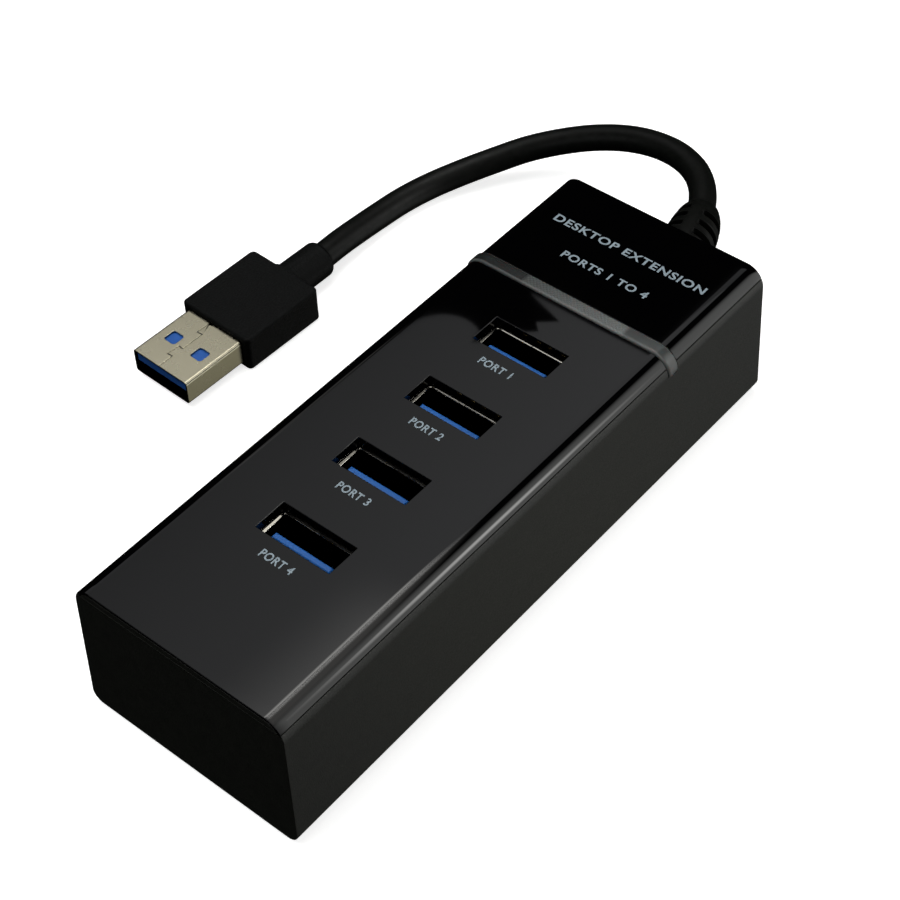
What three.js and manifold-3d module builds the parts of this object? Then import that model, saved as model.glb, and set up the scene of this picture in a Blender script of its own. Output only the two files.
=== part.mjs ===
// Four-port desktop hub with upright sockets on its top face and a short captive lead.
// Units are millimetres, +Z is up, and the origin is the centre of the case's footprint on
// the surface that its feet stand on. +Y runs along the case to the end the lead leaves,
// and the lead's plug lies on the same surface beside the -X side of the case.

import * as THREE from 'three';
import { mergeVertices } from 'three/addons/utils/BufferGeometryUtils.js';
import Module from 'manifold-3d';

const wasm = await Module();
wasm.setup();

// ---------------------------------------------------------------- driving dimensions

// case
const CASE_LENGTH = 104.2;         // at the parting, where the case is slimmest
const CASE_WIDTH = 36.8;
const CASE_HEIGHT = 24.2;
const DRAFT = 0.6;                 // how much further out each wall of the base stands at its foot
const FOOT_STAND = 0.6;            // how far the feet hold the case off the table
const TOP_EDGE_RADIUS = 3.1;
const BOTTOM_EDGE_RADIUS = 1.8;
const WALL = 1.8;
const COVER_THICKNESS = 1.6;
const COVER_END_LIP = 0.5;         // the cover's thin edge over the base's end walls
const SEAM = 0.12;                 // gap between base and cover, all round
const COVER_RIM_DEPTH = 2.2;       // locating rim that drops inside the base
const COVER_RIM_WALL = 1;
const RIM_CLEARANCE = 0.15;        // between that rim and the base's walls

// ports, numbered from the lead's end
const PORT_COUNT = 4;
const FIRST_PORT_Y = 17.75;
const PORT_PITCH = 15.07;
const PORT_OPENING = { x: 13.05, y: 5.5 };
const COLLAR = { innerX: 13.5, innerY: 6.1, wall: 1.1, depth: 3 };
const SOCKET_SHELL = { x: 13.1, y: 5.72, sheet: 0.3, cornerRadius: 0.6 };
const SOCKET_RIM_GAP = 0.3;        // socket rim below the cover's underside
const TONGUE = { x: 11.1, y: 1.84, tipBelowTop: 2.1, farFaceY: -0.1 };
const SOCKET_BLOCK = { x: 12.2, y: 4.8, height: 4.3 };
const SOCKET_LEG = { width: 2, below: 1.2 };
const CONTACT = { width: 1, thickness: 0.2, gap: 0.05, belowTip: 1.4, carrier: 0.5 };
const CONTACT_X = [-3.5, -1, 1, 3.5];

// light bar
const BAR_Y = 29.3;
const BAR_WIDTH = 2.1;
const BAR_PROUD = 0.3;
const BAR_SINK = 0.8;
const BAR_BELOW_SEAM = 1.5;        // how far each end runs down the side of the case
const BAR_CLEARANCE = 0.12;
const BAR_LEG = { topHalfX: 9, bottomHalfX: 5.5, thickness: 1.6, aboveLed: 0.6 };

// circuit board and what is on it
const BOARD = { x: 32.4, y: 82, thickness: 1.6, underside: 7.2 };
const BOARD_POST = { x: 13.8, y: 36.5, radius: 2.2, pinRadius: 0.9, pinAbove: 0.8, holeRadius: 1.15 };
const PART_GAP = 0.1;              // solder gap under each part on the board
const CHIP = { size: 9, height: 0.9, x: 11.6, y: 10.4 };
const CRYSTAL = { x: 4.6, y: 11.2, height: 3.4, atX: -11.6, atY: 10.4 };
const REGULATOR = { x: 3.6, y: 6.6, height: 1.7, atX: 11.6, atY: -4.7 };
const CAPACITOR = { radius: 2, height: 5.4, x: -11.6, firstY: 1.2, pitch: 8.6, count: 4 };
const LED = { x: 1.7, y: 1.3, height: 1, spacing: 6.4, count: 2 };

// screws and feet
const SCREW_PLACE = { x: 13.4, y: 46.6 };
const SCREW = { headRadius: 2.3, headHeight: 1.4, shankRadius: 1.15, length: 8.6 };
const SCREW_RECESS = { length: 2.6, width: 0.55, depth: 0.7 };
const SCREW_SEAT = 2;              // depth of the counterbore
const SCREW_BOSS = { radius: 3, top: 6.4, holeRadius: 1.5, boreRadius: 2.65 };
const SCREW_COLUMN = { radius: 2.6, aboveBoss: 0.2, pilotRadius: 1.4, pilotDepth: 7 };
const FOOT = { x: 12.8, y: 37, radius: 4, thickness: 1.1, pocketRadius: 4.2, pocketDepth: 0.6 };

// lead: strain relief, cable and its conductors
const CABLE_RADIUS = 2.25;
const CABLE_AXIS_Z = 12.6;
const RELIEF = { flangeRadius: 6, flangeThickness: 2, neckRadius: 4, baseRadius: 4.65, length: 17.2 };
const RELIEF_TAPER = { slow: 0.8, tip: 1 };        // radius lost all along the sleeve, and near its tip
const RELIEF_BORE_RADIUS = 2.55;
const RELIEF_SLOT = { width: 1.15, pitch: 2.5, first: 3, count: 5, coreRadius: 3.05, fromAxis: 1.1 };
const WALL_HOLE_RADIUS = 4.3;
const CONDUCTOR = { count: 9, radius: 0.33, rowOffset: 0.45, endY: 37.6 };
const CONDUCTOR_PITCH = { start: 0.4, end: 1.9 };

// plug on the end of the lead
const PLUG_PLACE = { x: -53.3, y: 7.4, yawDegrees: -1.9 };
const OVERMOLD = { x: 14.8, y: 16, z: 6.4, rearRadius: 0.8, frontRadius: 0.4 };
const OVERMOLD_BOSS = { radius: 3.15, length: 7.8, edge: 0.8 };
const PLUG_POCKET = { x: 12.6, z: 5.1, depth: 6 };
const PLUG_SHELL = { x: 12, z: 4.5, sheet: 0.3, cornerRadius: 0.5, exposed: 11.9, embedded: 5.7 };
const PLUG_WINDOW = { size: 2.4, x: 2.95, fromTip: 5.9 };
const PLUG_TONGUE = { x: 11.1, z: 1.9, tipSetback: 0.35, belowShell: 0.15, rearBlock: 5.6 };
const PLUG_CONTACT_SETBACK = 1;    // from the tongue's tip to the contacts

const CORD_GAP = 0.3;

// making: how far pieces that join reach into each other, and how far cutters reach past a face
const MERGE = 0.4;
const CUT_PAST = 1;

// The lead's centre line: straight out through the strain relief, round behind the case in
// one loose bend as it sinks to the table, then along the table to the plug.
const CABLE_ROUTE = [
  [0, 45, 12.6], [0, 49, 12.6], [0, 53, 12.6], [-0.4, 57, 12.6], [-1.3, 61, 12.6], [-2.6, 65.4, 12.6],
  [-4.5, 69.9, 12.6], [-7.4, 74.3, 12.5], [-11.1, 77.6, 12.2], [-15.8, 79.7, 11.7], [-20.8, 80.4, 11],
  [-26.05, 79.95, 10], [-31.6, 78.25, 8.6], [-36.65, 75.45, 7.1], [-41.1, 71.7, 5.7],
  [-44.9, 66.95, 4.3], [-48.05, 61.9, 3.3], [-50.5, 56.8, 2.6], [-52, 51.4, 2.3], [-52.6, 46, 2.3],
  [-52.75, 41, 2.6], [-52.7, 36, 3], [-52.52, 31.5, 3.2],
];

// ---------------------------------------------------------------- derived dimensions

const HALF_LENGTH = CASE_LENGTH / 2;
const HALF_WIDTH = CASE_WIDTH / 2;
const CASE_TOP = FOOT_STAND + CASE_HEIGHT;
const FLOOR_TOP = FOOT_STAND + WALL;
const PARTING = CASE_TOP - COVER_THICKNESS;
const INNER_HALF_WIDTH = HALF_WIDTH - WALL;
const INNER_HALF_LENGTH = HALF_LENGTH - WALL;
const BOARD_TOP = BOARD.underside + BOARD.thickness;
const ON_BOARD = BOARD_TOP + PART_GAP;
const SOCKET_TOP = PARTING - SOCKET_RIM_GAP;
const TONGUE_TIP = CASE_TOP - TONGUE.tipBelowTop;
const BAR_END_Z = PARTING - BAR_BELOW_SEAM;
const SEAT_Z = FOOT_STAND + SCREW_SEAT;
const COLUMN_FOOT = SCREW_BOSS.top + SCREW_COLUMN.aboveBoss;
const RELIEF_START_Y = HALF_LENGTH + DRAFT;
const PORT_YS = Array.from({ length: PORT_COUNT }, (_, index) => FIRST_PORT_Y - index * PORT_PITCH);

// ---------------------------------------------------------------- solids

// A closed three.js geometry as a solid that can be joined and cut.
function solid(geometry) {
  const positions = geometry.clone();
  positions.deleteAttribute('normal');
  positions.deleteAttribute('uv');
  const merged = mergeVertices(positions, 1e-4);
  return new wasm.Manifold(new wasm.Mesh({
    numProp: 3,
    vertProperties: new Float32Array(merged.attributes.position.array),
    triVerts: new Uint32Array(merged.index.array),
  }));
}

function geometryOf(body) {
  const { vertProperties, triVerts, numProp } = body.getMesh();
  const positions = new Float32Array((vertProperties.length / numProp) * 3);
  for (let vertex = 0; vertex < positions.length / 3; vertex += 1) {
    for (let axis = 0; axis < 3; axis += 1) {
      positions[vertex * 3 + axis] = vertProperties[vertex * numProp + axis];
    }
  }
  const geometry = new THREE.BufferGeometry();
  geometry.setAttribute('position', new THREE.BufferAttribute(positions, 3));
  geometry.setIndex(new THREE.BufferAttribute(new Uint32Array(triVerts), 1));
  geometry.computeVertexNormals();
  return geometry;
}

function union(bodies) {
  return bodies.reduce((sum, body) => sum.add(body));
}

function without(body, cutters) {
  return cutters.reduce((rest, cutter) => rest.subtract(cutter), body);
}

function box([x0, x1], [y0, y1], [z0, z1]) {
  const geometry = new THREE.BoxGeometry(x1 - x0, y1 - y0, z1 - z0);
  geometry.translate((x0 + x1) / 2, (y0 + y1) / 2, (z0 + z1) / 2);
  return solid(geometry);
}

function centredBox(x, y, sizeX, sizeY, zRange) {
  return box([x - sizeX / 2, x + sizeX / 2], [y - sizeY / 2, y + sizeY / 2], zRange);
}

function pin(x, y, radius, [z0, z1], segments = 20) {
  const geometry = new THREE.CylinderGeometry(radius, radius, z1 - z0, segments);
  geometry.rotateX(Math.PI / 2);
  geometry.translate(x, y, (z0 + z1) / 2);
  return solid(geometry);
}

// A solid turned about the Y axis from (radius, y) points that start and end on the axis.
function turned(profile, segments = 20) {
  return solid(new THREE.LatheGeometry(profile.map(([radius, y]) => new THREE.Vector2(radius, y)), segments));
}

// A rectangle with one radius for its two lower corners and one for its two upper corners.
function roundedRectangle(x0, x1, y0, y1, lowRadius, highRadius = lowRadius) {
  const shape = new THREE.Shape();
  shape.moveTo(x0 + lowRadius, y0);
  shape.lineTo(x1 - lowRadius, y0);
  shape.absarc(x1 - lowRadius, y0 + lowRadius, lowRadius, -Math.PI / 2, 0);
  shape.lineTo(x1, y1 - highRadius);
  shape.absarc(x1 - highRadius, y1 - highRadius, highRadius, 0, Math.PI / 2);
  shape.lineTo(x0 + highRadius, y1);
  shape.absarc(x0 + highRadius, y1 - highRadius, highRadius, Math.PI / 2, Math.PI);
  shape.lineTo(x0, y0 + lowRadius);
  shape.absarc(x0 + lowRadius, y0 + lowRadius, lowRadius, Math.PI, Math.PI * 1.5);
  return shape;
}

function extrudeUp(shape, [z0, z1], curveSegments = 6) {
  const geometry = new THREE.ExtrudeGeometry(shape, { depth: z1 - z0, bevelEnabled: false, curveSegments });
  geometry.translate(0, 0, z0);
  return geometry;
}

// Extrudes an (x, z) outline along Y.
function extrudeAlongY(shape, [y0, y1], curveSegments = 6) {
  const geometry = new THREE.ExtrudeGeometry(shape, { depth: y1 - y0, bevelEnabled: false, curveSegments });
  geometry.rotateX(Math.PI / 2);
  geometry.translate(0, y1, 0);
  return geometry;
}

// The case's outer section, moved inwards by inset, or outwards where inset is negative.
function caseSection(inset) {
  return roundedRectangle(
    -HALF_WIDTH + inset,
    HALF_WIDTH - inset,
    FOOT_STAND + inset,
    CASE_TOP - inset,
    BOTTOM_EDGE_RADIUS - inset,
    TOP_EDGE_RADIUS - inset,
  );
}

function caseBody(inset, yRange) {
  return solid(extrudeAlongY(caseSection(inset), yRange, 5));
}

// The base's outer body before it is cut at the parting. Below the parting its walls lean out.
function draftedBody() {
  const geometry = extrudeAlongY(caseSection(0), [-HALF_LENGTH, HALF_LENGTH], 5);
  const positions = geometry.attributes.position;
  for (let index = 0; index < positions.count; index += 1) {
    const z = positions.getZ(index);
    const lean = DRAFT * Math.max(0, (PARTING - z) / (PARTING - FOOT_STAND));
    positions.setX(index, positions.getX(index) * (1 + lean / HALF_WIDTH));
    positions.setY(index, positions.getY(index) * (1 + lean / HALF_LENGTH));
  }
  return solid(geometry);
}

function above(z) {
  return box([-CASE_WIDTH, CASE_WIDTH], [-CASE_LENGTH, CASE_LENGTH], [z, 2 * CASE_TOP]);
}

function below(z) {
  return box([-CASE_WIDTH, CASE_WIDTH], [-CASE_LENGTH, CASE_LENGTH], [-CASE_TOP, z]);
}

// The four mirror images of a point, one in each quarter of the case.
function quarters(x, y) {
  return [[-x, y], [x, y], [-x, -y], [x, -y]];
}

// ---------------------------------------------------------------- materials

function finish(color, roughness, metalness = 0, extra = {}) {
  return new THREE.MeshStandardMaterial({ color, roughness, metalness, ...extra });
}

const finishes = {
  glossBlack: () => finish(0x08080a, 0.08),
  mattBlack: () => finish(0x1b1c18, 0.62),
  clearGrey: () => finish(0x8d9292, 0.3, 0, { transparent: true, opacity: 0.75 }),
  nickel: () => finish(0xb9b2a0, 0.25, 1),
  bluePlastic: () => finish(0x2d66b8, 0.45),
  gold: () => finish(0xc79a3a, 0.3, 1),
  boardGreen: () => finish(0x14502d, 0.5),
  chipBlack: () => finish(0x151515, 0.5),
  tin: () => finish(0xa9abad, 0.35, 1),
  ledWhite: () => finish(0xdfe6ea, 0.4),
  zinc: () => finish(0x6d6f70, 0.35, 1),
  footRubber: () => finish(0x141414, 0.85),
  leadBlack: () => finish(0x10110f, 0.5),
};
const CONDUCTOR_COLOURS = [
  0xb0201c, 0xd8d8d4, 0x1f7a35, 0x161616, 0x2547a8, 0xc9a22a, 0x6e6e6e, 0x6a2f8c, 0xc8642a,
];

const hub = new THREE.Group();

function place(name, geometry, material, parent = hub) {
  const mesh = new THREE.Mesh(geometry, material);
  mesh.name = name;
  parent.add(mesh);
  return mesh;
}

// ---------------------------------------------------------------- light bar

// The arch that lies in the groove of the cover and runs down both sides of the case.
function barArch(clearance) {
  const halfWidth = BAR_WIDTH / 2 + clearance;
  const range = [BAR_Y - halfWidth, BAR_Y + halfWidth];
  const outside = clearance > 0 ? caseBody(-CUT_PAST, range) : caseBody(-BAR_PROUD, range);
  const inside = caseBody(BAR_SINK + clearance, [range[0] - CUT_PAST, range[1] + CUT_PAST]);
  return outside.subtract(inside).intersect(above(BAR_END_Z - clearance));
}

function barLeg(clearance) {
  const halfThickness = BAR_LEG.thickness / 2 + clearance;
  const legFoot = ON_BOARD + LED.height + BAR_LEG.aboveLed;
  const shape = new THREE.Shape([
    new THREE.Vector2(-BAR_LEG.bottomHalfX - clearance, legFoot - clearance),
    new THREE.Vector2(BAR_LEG.bottomHalfX + clearance, legFoot - clearance),
    new THREE.Vector2(BAR_LEG.topHalfX + clearance, CASE_TOP - BAR_SINK + MERGE),
    new THREE.Vector2(-BAR_LEG.topHalfX - clearance, CASE_TOP - BAR_SINK + MERGE),
  ]);
  return solid(extrudeAlongY(shape, [BAR_Y - halfThickness, BAR_Y + halfThickness]));
}

place('light_bar', geometryOf(barArch(0).add(barLeg(0))), finishes.clearGrey());

// ---------------------------------------------------------------- base

function baseCase() {
  const lower = draftedBody().intersect(below(PARTING - SEAM));
  const endWalls = [-1, 1].map((side) => {
    const range = side < 0 ? [-HALF_LENGTH, -INNER_HALF_LENGTH] : [INNER_HALF_LENGTH, HALF_LENGTH];
    return caseBody(COVER_END_LIP + SEAM, range).intersect(above(FLOOR_TOP + WALL));
  });
  const cavity = box(
    [-INNER_HALF_WIDTH, INNER_HALF_WIDTH],
    [-INNER_HALF_LENGTH, INNER_HALF_LENGTH],
    [FLOOR_TOP, CASE_TOP],
  );
  const posts = quarters(BOARD_POST.x, BOARD_POST.y).flatMap(([x, y]) => [
    pin(x, y, BOARD_POST.radius, [FLOOR_TOP - MERGE, BOARD.underside - PART_GAP], 16),
    pin(x, y, BOARD_POST.pinRadius, [FLOOR_TOP, BOARD_TOP + BOARD_POST.pinAbove], 12),
  ]);
  const bosses = quarters(SCREW_PLACE.x, SCREW_PLACE.y).map(
    ([x, y]) => pin(x, y, SCREW_BOSS.radius, [FLOOR_TOP - MERGE, SCREW_BOSS.top], 20),
  );
  const screwHoles = quarters(SCREW_PLACE.x, SCREW_PLACE.y).flatMap(([x, y]) => [
    pin(x, y, SCREW_BOSS.boreRadius, [0, SEAT_Z], 24),
    pin(x, y, SCREW_BOSS.holeRadius, [0, SCREW_BOSS.top + CUT_PAST], 16),
  ]);
  const footPockets = quarters(FOOT.x, FOOT.y).map(
    ([x, y]) => pin(x, y, FOOT.pocketRadius, [0, FOOT_STAND + FOOT.pocketDepth], 28),
  );
  const leadHole = new THREE.CylinderGeometry(WALL_HOLE_RADIUS, WALL_HOLE_RADIUS, WALL * 3, 32);
  leadHole.translate(0, HALF_LENGTH - WALL / 2, CABLE_AXIS_Z);
  const walls = union([lower, ...endWalls]).subtract(cavity);
  return without(
    union([walls, ...posts, ...bosses]),
    [...screwHoles, ...footPockets, solid(leadHole), barArch(BAR_CLEARANCE)],
  );
}

place('base_case', geometryOf(baseCase()), finishes.mattBlack());

// ---------------------------------------------------------------- cover

function topCover() {
  const skin = caseBody(0, [-HALF_LENGTH, HALF_LENGTH]).intersect(above(PARTING));
  const endPockets = [-1, 1].map((side) => {
    const inner = INNER_HALF_LENGTH - SEAM;
    const range = side < 0 ? [-HALF_LENGTH - CUT_PAST, -inner] : [inner, HALF_LENGTH + CUT_PAST];
    return caseBody(COVER_END_LIP, range);
  });
  const rimX = INNER_HALF_WIDTH - RIM_CLEARANCE;
  const rimY = INNER_HALF_LENGTH - RIM_CLEARANCE;
  const rimHeight = [PARTING - COVER_RIM_DEPTH, PARTING + MERGE];
  const rim = box([-rimX, rimX], [-rimY, rimY], rimHeight).subtract(box(
    [-rimX + COVER_RIM_WALL, rimX - COVER_RIM_WALL],
    [-rimY + COVER_RIM_WALL, rimY - COVER_RIM_WALL],
    [rimHeight[0] - CUT_PAST, rimHeight[1] + CUT_PAST],
  ));
  const collarFoot = PARTING - COLLAR.depth;
  const collarX = COLLAR.innerX + 2 * COLLAR.wall;
  const collarY = COLLAR.innerY + 2 * COLLAR.wall;
  const collars = PORT_YS.map((y) => centredBox(0, y, collarX, collarY, [collarFoot, PARTING + MERGE]));
  const collarBores = PORT_YS.map(
    (y) => centredBox(0, y, COLLAR.innerX, COLLAR.innerY, [collarFoot - CUT_PAST, PARTING]),
  );
  const columns = quarters(SCREW_PLACE.x, SCREW_PLACE.y).map(
    ([x, y]) => pin(x, y, SCREW_COLUMN.radius, [COLUMN_FOOT, PARTING + MERGE], 20),
  );
  const pilotRange = [COLUMN_FOOT - CUT_PAST, COLUMN_FOOT + SCREW_COLUMN.pilotDepth];
  const pilots = quarters(SCREW_PLACE.x, SCREW_PLACE.y).map(
    ([x, y]) => pin(x, y, SCREW_COLUMN.pilotRadius, pilotRange, 14),
  );
  const openings = PORT_YS.map(
    (y) => centredBox(0, y, PORT_OPENING.x, PORT_OPENING.y, [PARTING - CUT_PAST, CASE_TOP + CUT_PAST]),
  );
  return without(
    union([without(skin, endPockets), rim, ...collars, ...columns]),
    [...collarBores, ...openings, ...pilots, barArch(BAR_CLEARANCE), barLeg(BAR_CLEARANCE)],
  );
}

place('top_cover', geometryOf(topCover()), finishes.glossBlack());

// ---------------------------------------------------------------- sockets

// A folded steel sleeve with one solder leg on each narrow side.
function socketShell() {
  const { x, y, sheet, cornerRadius } = SOCKET_SHELL;
  const outline = roundedRectangle(-x / 2, x / 2, -y / 2, y / 2, cornerRadius);
  const innerX = x / 2 - sheet;
  const innerY = y / 2 - sheet;
  outline.holes.push(roundedRectangle(-innerX, innerX, -innerY, innerY, cornerRadius - sheet));
  const sleeve = solid(extrudeUp(outline, [ON_BOARD, SOCKET_TOP], 3));
  const legs = [-1, 1].map((side) => {
    const reach = side < 0 ? [-x / 2, -innerX] : [innerX, x / 2];
    const depth = [-SOCKET_LEG.width / 2, SOCKET_LEG.width / 2];
    return box(reach, depth, [BOARD.underside - SOCKET_LEG.below, ON_BOARD + MERGE]);
  });
  return geometryOf(union([sleeve, ...legs]));
}

// The moulded core: a block at the bottom of the sleeve and the tongue that stands up from it.
function socketInsulator() {
  const blockTop = ON_BOARD + SOCKET_BLOCK.height;
  const block = centredBox(0, 0, SOCKET_BLOCK.x, SOCKET_BLOCK.y, [ON_BOARD, blockTop]);
  const tongue = box(
    [-TONGUE.x / 2, TONGUE.x / 2],
    [TONGUE.farFaceY - TONGUE.y, TONGUE.farFaceY],
    [blockTop - MERGE, TONGUE_TIP],
  );
  return geometryOf(block.add(tongue));
}

// Spring contacts on the open side of the tongue, still joined by their carrier strip.
function socketContacts() {
  const face = TONGUE.farFaceY + CONTACT.gap;
  const foot = ON_BOARD + SOCKET_BLOCK.height + PART_GAP;
  const depth = [face, face + CONTACT.thickness];
  const blades = CONTACT_X.map((x) => box(
    [x - CONTACT.width / 2, x + CONTACT.width / 2],
    depth,
    [foot, TONGUE_TIP - CONTACT.belowTip],
  ));
  const reach = CONTACT_X.at(-1) + CONTACT.width / 2;
  return geometryOf(union([box([-reach, reach], depth, [foot, foot + CONTACT.carrier]), ...blades]));
}

PORT_YS.forEach((y, index) => {
  const socket = new THREE.Group();
  socket.position.y = y;
  hub.add(socket);
  place(`receptacle_shell_${index + 1}`, socketShell(), finishes.nickel(), socket);
  place(`receptacle_insulator_${index + 1}`, socketInsulator(), finishes.bluePlastic(), socket);
  place(`receptacle_contacts_${index + 1}`, socketContacts(), finishes.gold(), socket);
});

// ---------------------------------------------------------------- circuit board

function board() {
  const plate = centredBox(0, 0, BOARD.x, BOARD.y, [BOARD.underside, BOARD_TOP]);
  const through = [BOARD.underside - CUT_PAST, BOARD_TOP + CUT_PAST];
  const postHoles = quarters(BOARD_POST.x, BOARD_POST.y).map(
    ([x, y]) => pin(x, y, BOARD_POST.holeRadius, through, 12),
  );
  const legX = SOCKET_SHELL.x / 2 - SOCKET_SHELL.sheet / 2;
  const legSlots = PORT_YS.flatMap((y) => [-legX, legX].map(
    (x) => centredBox(x, y, SOCKET_SHELL.sheet + 0.6, SOCKET_LEG.width + 0.6, through),
  ));
  return geometryOf(without(plate, [...postHoles, ...legSlots]));
}

// A moulded or canned part: a plain block with cut corners, standing on the board.
function boardBlock(x, y, height) {
  return extrudeUp(roundedRectangle(-x / 2, x / 2, -y / 2, y / 2, 0.4), [0, height], 2);
}

place('circuit_board', board(), finishes.boardGreen());
place('hub_controller_chip', boardBlock(CHIP.size, CHIP.size, CHIP.height), finishes.chipBlack())
  .position.set(CHIP.x, CHIP.y, ON_BOARD);
place('crystal', boardBlock(CRYSTAL.x, CRYSTAL.y, CRYSTAL.height), finishes.tin())
  .position.set(CRYSTAL.atX, CRYSTAL.atY, ON_BOARD);
place('voltage_regulator', boardBlock(REGULATOR.x, REGULATOR.y, REGULATOR.height), finishes.chipBlack())
  .position.set(REGULATOR.atX, REGULATOR.atY, ON_BOARD);

for (let index = 0; index < CAPACITOR.count; index += 1) {
  const can = new THREE.CylinderGeometry(CAPACITOR.radius, CAPACITOR.radius, CAPACITOR.height, 20);
  can.rotateX(Math.PI / 2);
  place(`port_capacitor_${index + 1}`, can, finishes.tin())
    .position.set(CAPACITOR.x, CAPACITOR.firstY - index * CAPACITOR.pitch, ON_BOARD + CAPACITOR.height / 2);
}

for (let index = 0; index < LED.count; index += 1) {
  place(`status_led_${index + 1}`, boardBlock(LED.x, LED.y, LED.height), finishes.ledWhite())
    .position.set((index - (LED.count - 1) / 2) * LED.spacing, BAR_Y, ON_BOARD);
}

// ---------------------------------------------------------------- screws and feet

// Pan-head screw, head down, with a cross recess in its head.
function screwGeometry() {
  const headTop = SEAT_Z - 0.1;
  const headFace = headTop - SCREW.headHeight;
  const head = pin(0, 0, SCREW.headRadius, [headFace, headTop], 20);
  const shank = pin(0, 0, SCREW.shankRadius, [headTop - MERGE, headTop + SCREW.length], 14);
  const { length, width, depth } = SCREW_RECESS;
  const recess = [[length, width], [width, length]].map(
    ([x, y]) => centredBox(0, 0, x, y, [headFace - CUT_PAST, headFace + depth]),
  );
  return geometryOf(without(head.add(shank), recess));
}

quarters(SCREW_PLACE.x, SCREW_PLACE.y).forEach(([x, y], index) => {
  place(`case_screw_${index + 1}`, screwGeometry(), finishes.zinc()).position.set(x, y, 0);
});

quarters(FOOT.x, FOOT.y).forEach(([x, y], index) => {
  const pad = new THREE.CylinderGeometry(FOOT.radius, FOOT.radius, FOOT.thickness, 28);
  pad.rotateX(Math.PI / 2);
  place(`rubber_foot_${index + 1}`, pad, finishes.footRubber()).position.set(x, y, FOOT.thickness / 2);
});

// ---------------------------------------------------------------- lead

const route = new THREE.CatmullRomCurve3(CABLE_ROUTE.map((point) => new THREE.Vector3(...point)));
route.arcLengthDivisions = 2000;
const ROUTE_START_Y = CABLE_ROUTE[0][1];
const STRAIGHT_END_Y = CABLE_ROUTE[2][1];

// Bends a solid that was made along +Y about the origin so that it follows the lead's route.
function bendAlongRoute(geometry) {
  const length = route.getLength();
  const positions = geometry.attributes.position;
  const point = new THREE.Vector3();
  for (let index = 0; index < positions.count; index += 1) {
    point.fromBufferAttribute(positions, index);
    if (point.y <= STRAIGHT_END_Y) {
      positions.setXYZ(index, point.x, point.y, point.z + CABLE_AXIS_Z);
    } else {
      const along = (point.y - ROUTE_START_Y) / length;
      const centre = route.getPointAt(along);
      const tangent = route.getTangentAt(along);
      const sideways = new THREE.Vector3(tangent.y, -tangent.x, 0).normalize();
      const up = new THREE.Vector3().crossVectors(sideways, tangent);
      const bent = centre.addScaledVector(sideways, point.x).addScaledVector(up, point.z);
      positions.setXYZ(index, bent.x, bent.y, bent.z);
    }
  }
  return geometry;
}

// The rubber sleeve: a flange behind the end wall, a neck through it, and a slotted taper.
function strainRelief() {
  const wallInside = INNER_HALF_LENGTH - CORD_GAP;
  const profile = [
    [0, wallInside - RELIEF.flangeThickness],
    [RELIEF.flangeRadius, wallInside - RELIEF.flangeThickness],
    [RELIEF.flangeRadius, wallInside],
    [RELIEF.neckRadius, wallInside],
    [RELIEF.neckRadius, RELIEF_START_Y],
  ];
  const rings = 14;
  for (let ring = 0; ring <= rings; ring += 1) {
    const along = ring / rings;
    const radius = RELIEF.baseRadius - RELIEF_TAPER.slow * along ** 1.6 - RELIEF_TAPER.tip * along ** 8;
    profile.push([radius, RELIEF_START_Y + along * RELIEF.length]);
  }
  profile.push([0, RELIEF_START_Y + RELIEF.length]);
  const outer = turned(profile);
  const slots = [-1, 1].flatMap((side) => Array.from({ length: RELIEF_SLOT.count }, (_, index) => {
    const stagger = side < 0 ? RELIEF_SLOT.pitch / 2 : 0;
    const y = RELIEF_START_Y + RELIEF_SLOT.first + stagger + index * RELIEF_SLOT.pitch;
    const range = [y - RELIEF_SLOT.width / 2, y + RELIEF_SLOT.width / 2];
    const { coreRadius, fromAxis, width } = RELIEF_SLOT;
    const core = new THREE.CylinderGeometry(coreRadius, coreRadius, width * 2, 20);
    core.translate(0, y, 0);
    const outside = RELIEF.flangeRadius + CUT_PAST;
    const reach = side < 0 ? [-outside, -fromAxis] : [fromAxis, outside];
    return box(reach, range, [-outside, outside]).subtract(solid(core));
  }));
  const boreStart = wallInside - RELIEF.flangeThickness - CUT_PAST;
  const boreLength = RELIEF_START_Y + RELIEF.length + CUT_PAST - boreStart;
  const bore = new THREE.CylinderGeometry(RELIEF_BORE_RADIUS, RELIEF_BORE_RADIUS, boreLength, 20, 16);
  bore.translate(0, boreStart + boreLength / 2, 0);
  const sleeve = bendAlongRoute(geometryOf(without(outer, slots)));
  return geometryOf(solid(sleeve).subtract(solid(bendAlongRoute(bore))));
}

function cable() {
  const section = new THREE.Shape().absarc(0, 0, CABLE_RADIUS, 0, Math.PI * 2);
  return new THREE.ExtrudeGeometry(section, { steps: 44, curveSegments: 5, extrudePath: route });
}

// One insulated conductor, fanned out from the end of the cable down to its pad on the board.
function conductor(index) {
  const { count, radius, rowOffset, endY } = CONDUCTOR;
  const { start: startPitch, end: endPitch } = CONDUCTOR_PITCH;
  const column = index - (count - 1) / 2;
  const row = index % 2 === 0 ? rowOffset : -rowOffset;
  const startY = ROUTE_START_Y - CORD_GAP;
  const padZ = ON_BOARD + radius + 0.1;
  const at = (part, pitch, z) => new THREE.Vector3(column * pitch, startY + (endY - startY) * part, z);
  const path = new THREE.CatmullRomCurve3([
    at(0, startPitch, CABLE_AXIS_Z + row),
    at(0.2, startPitch * 1.3, CABLE_AXIS_Z + row - 0.2),
    at(0.55, (startPitch + endPitch) / 2, (CABLE_AXIS_Z + padZ) / 2 + row * 0.6),
    at(0.85, endPitch, padZ + 0.25),
    at(1, endPitch, padZ),
  ]);
  const section = new THREE.Shape().absarc(0, 0, radius, 0, Math.PI * 2);
  return new THREE.ExtrudeGeometry(section, { steps: 8, curveSegments: 4, extrudePath: path });
}

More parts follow.
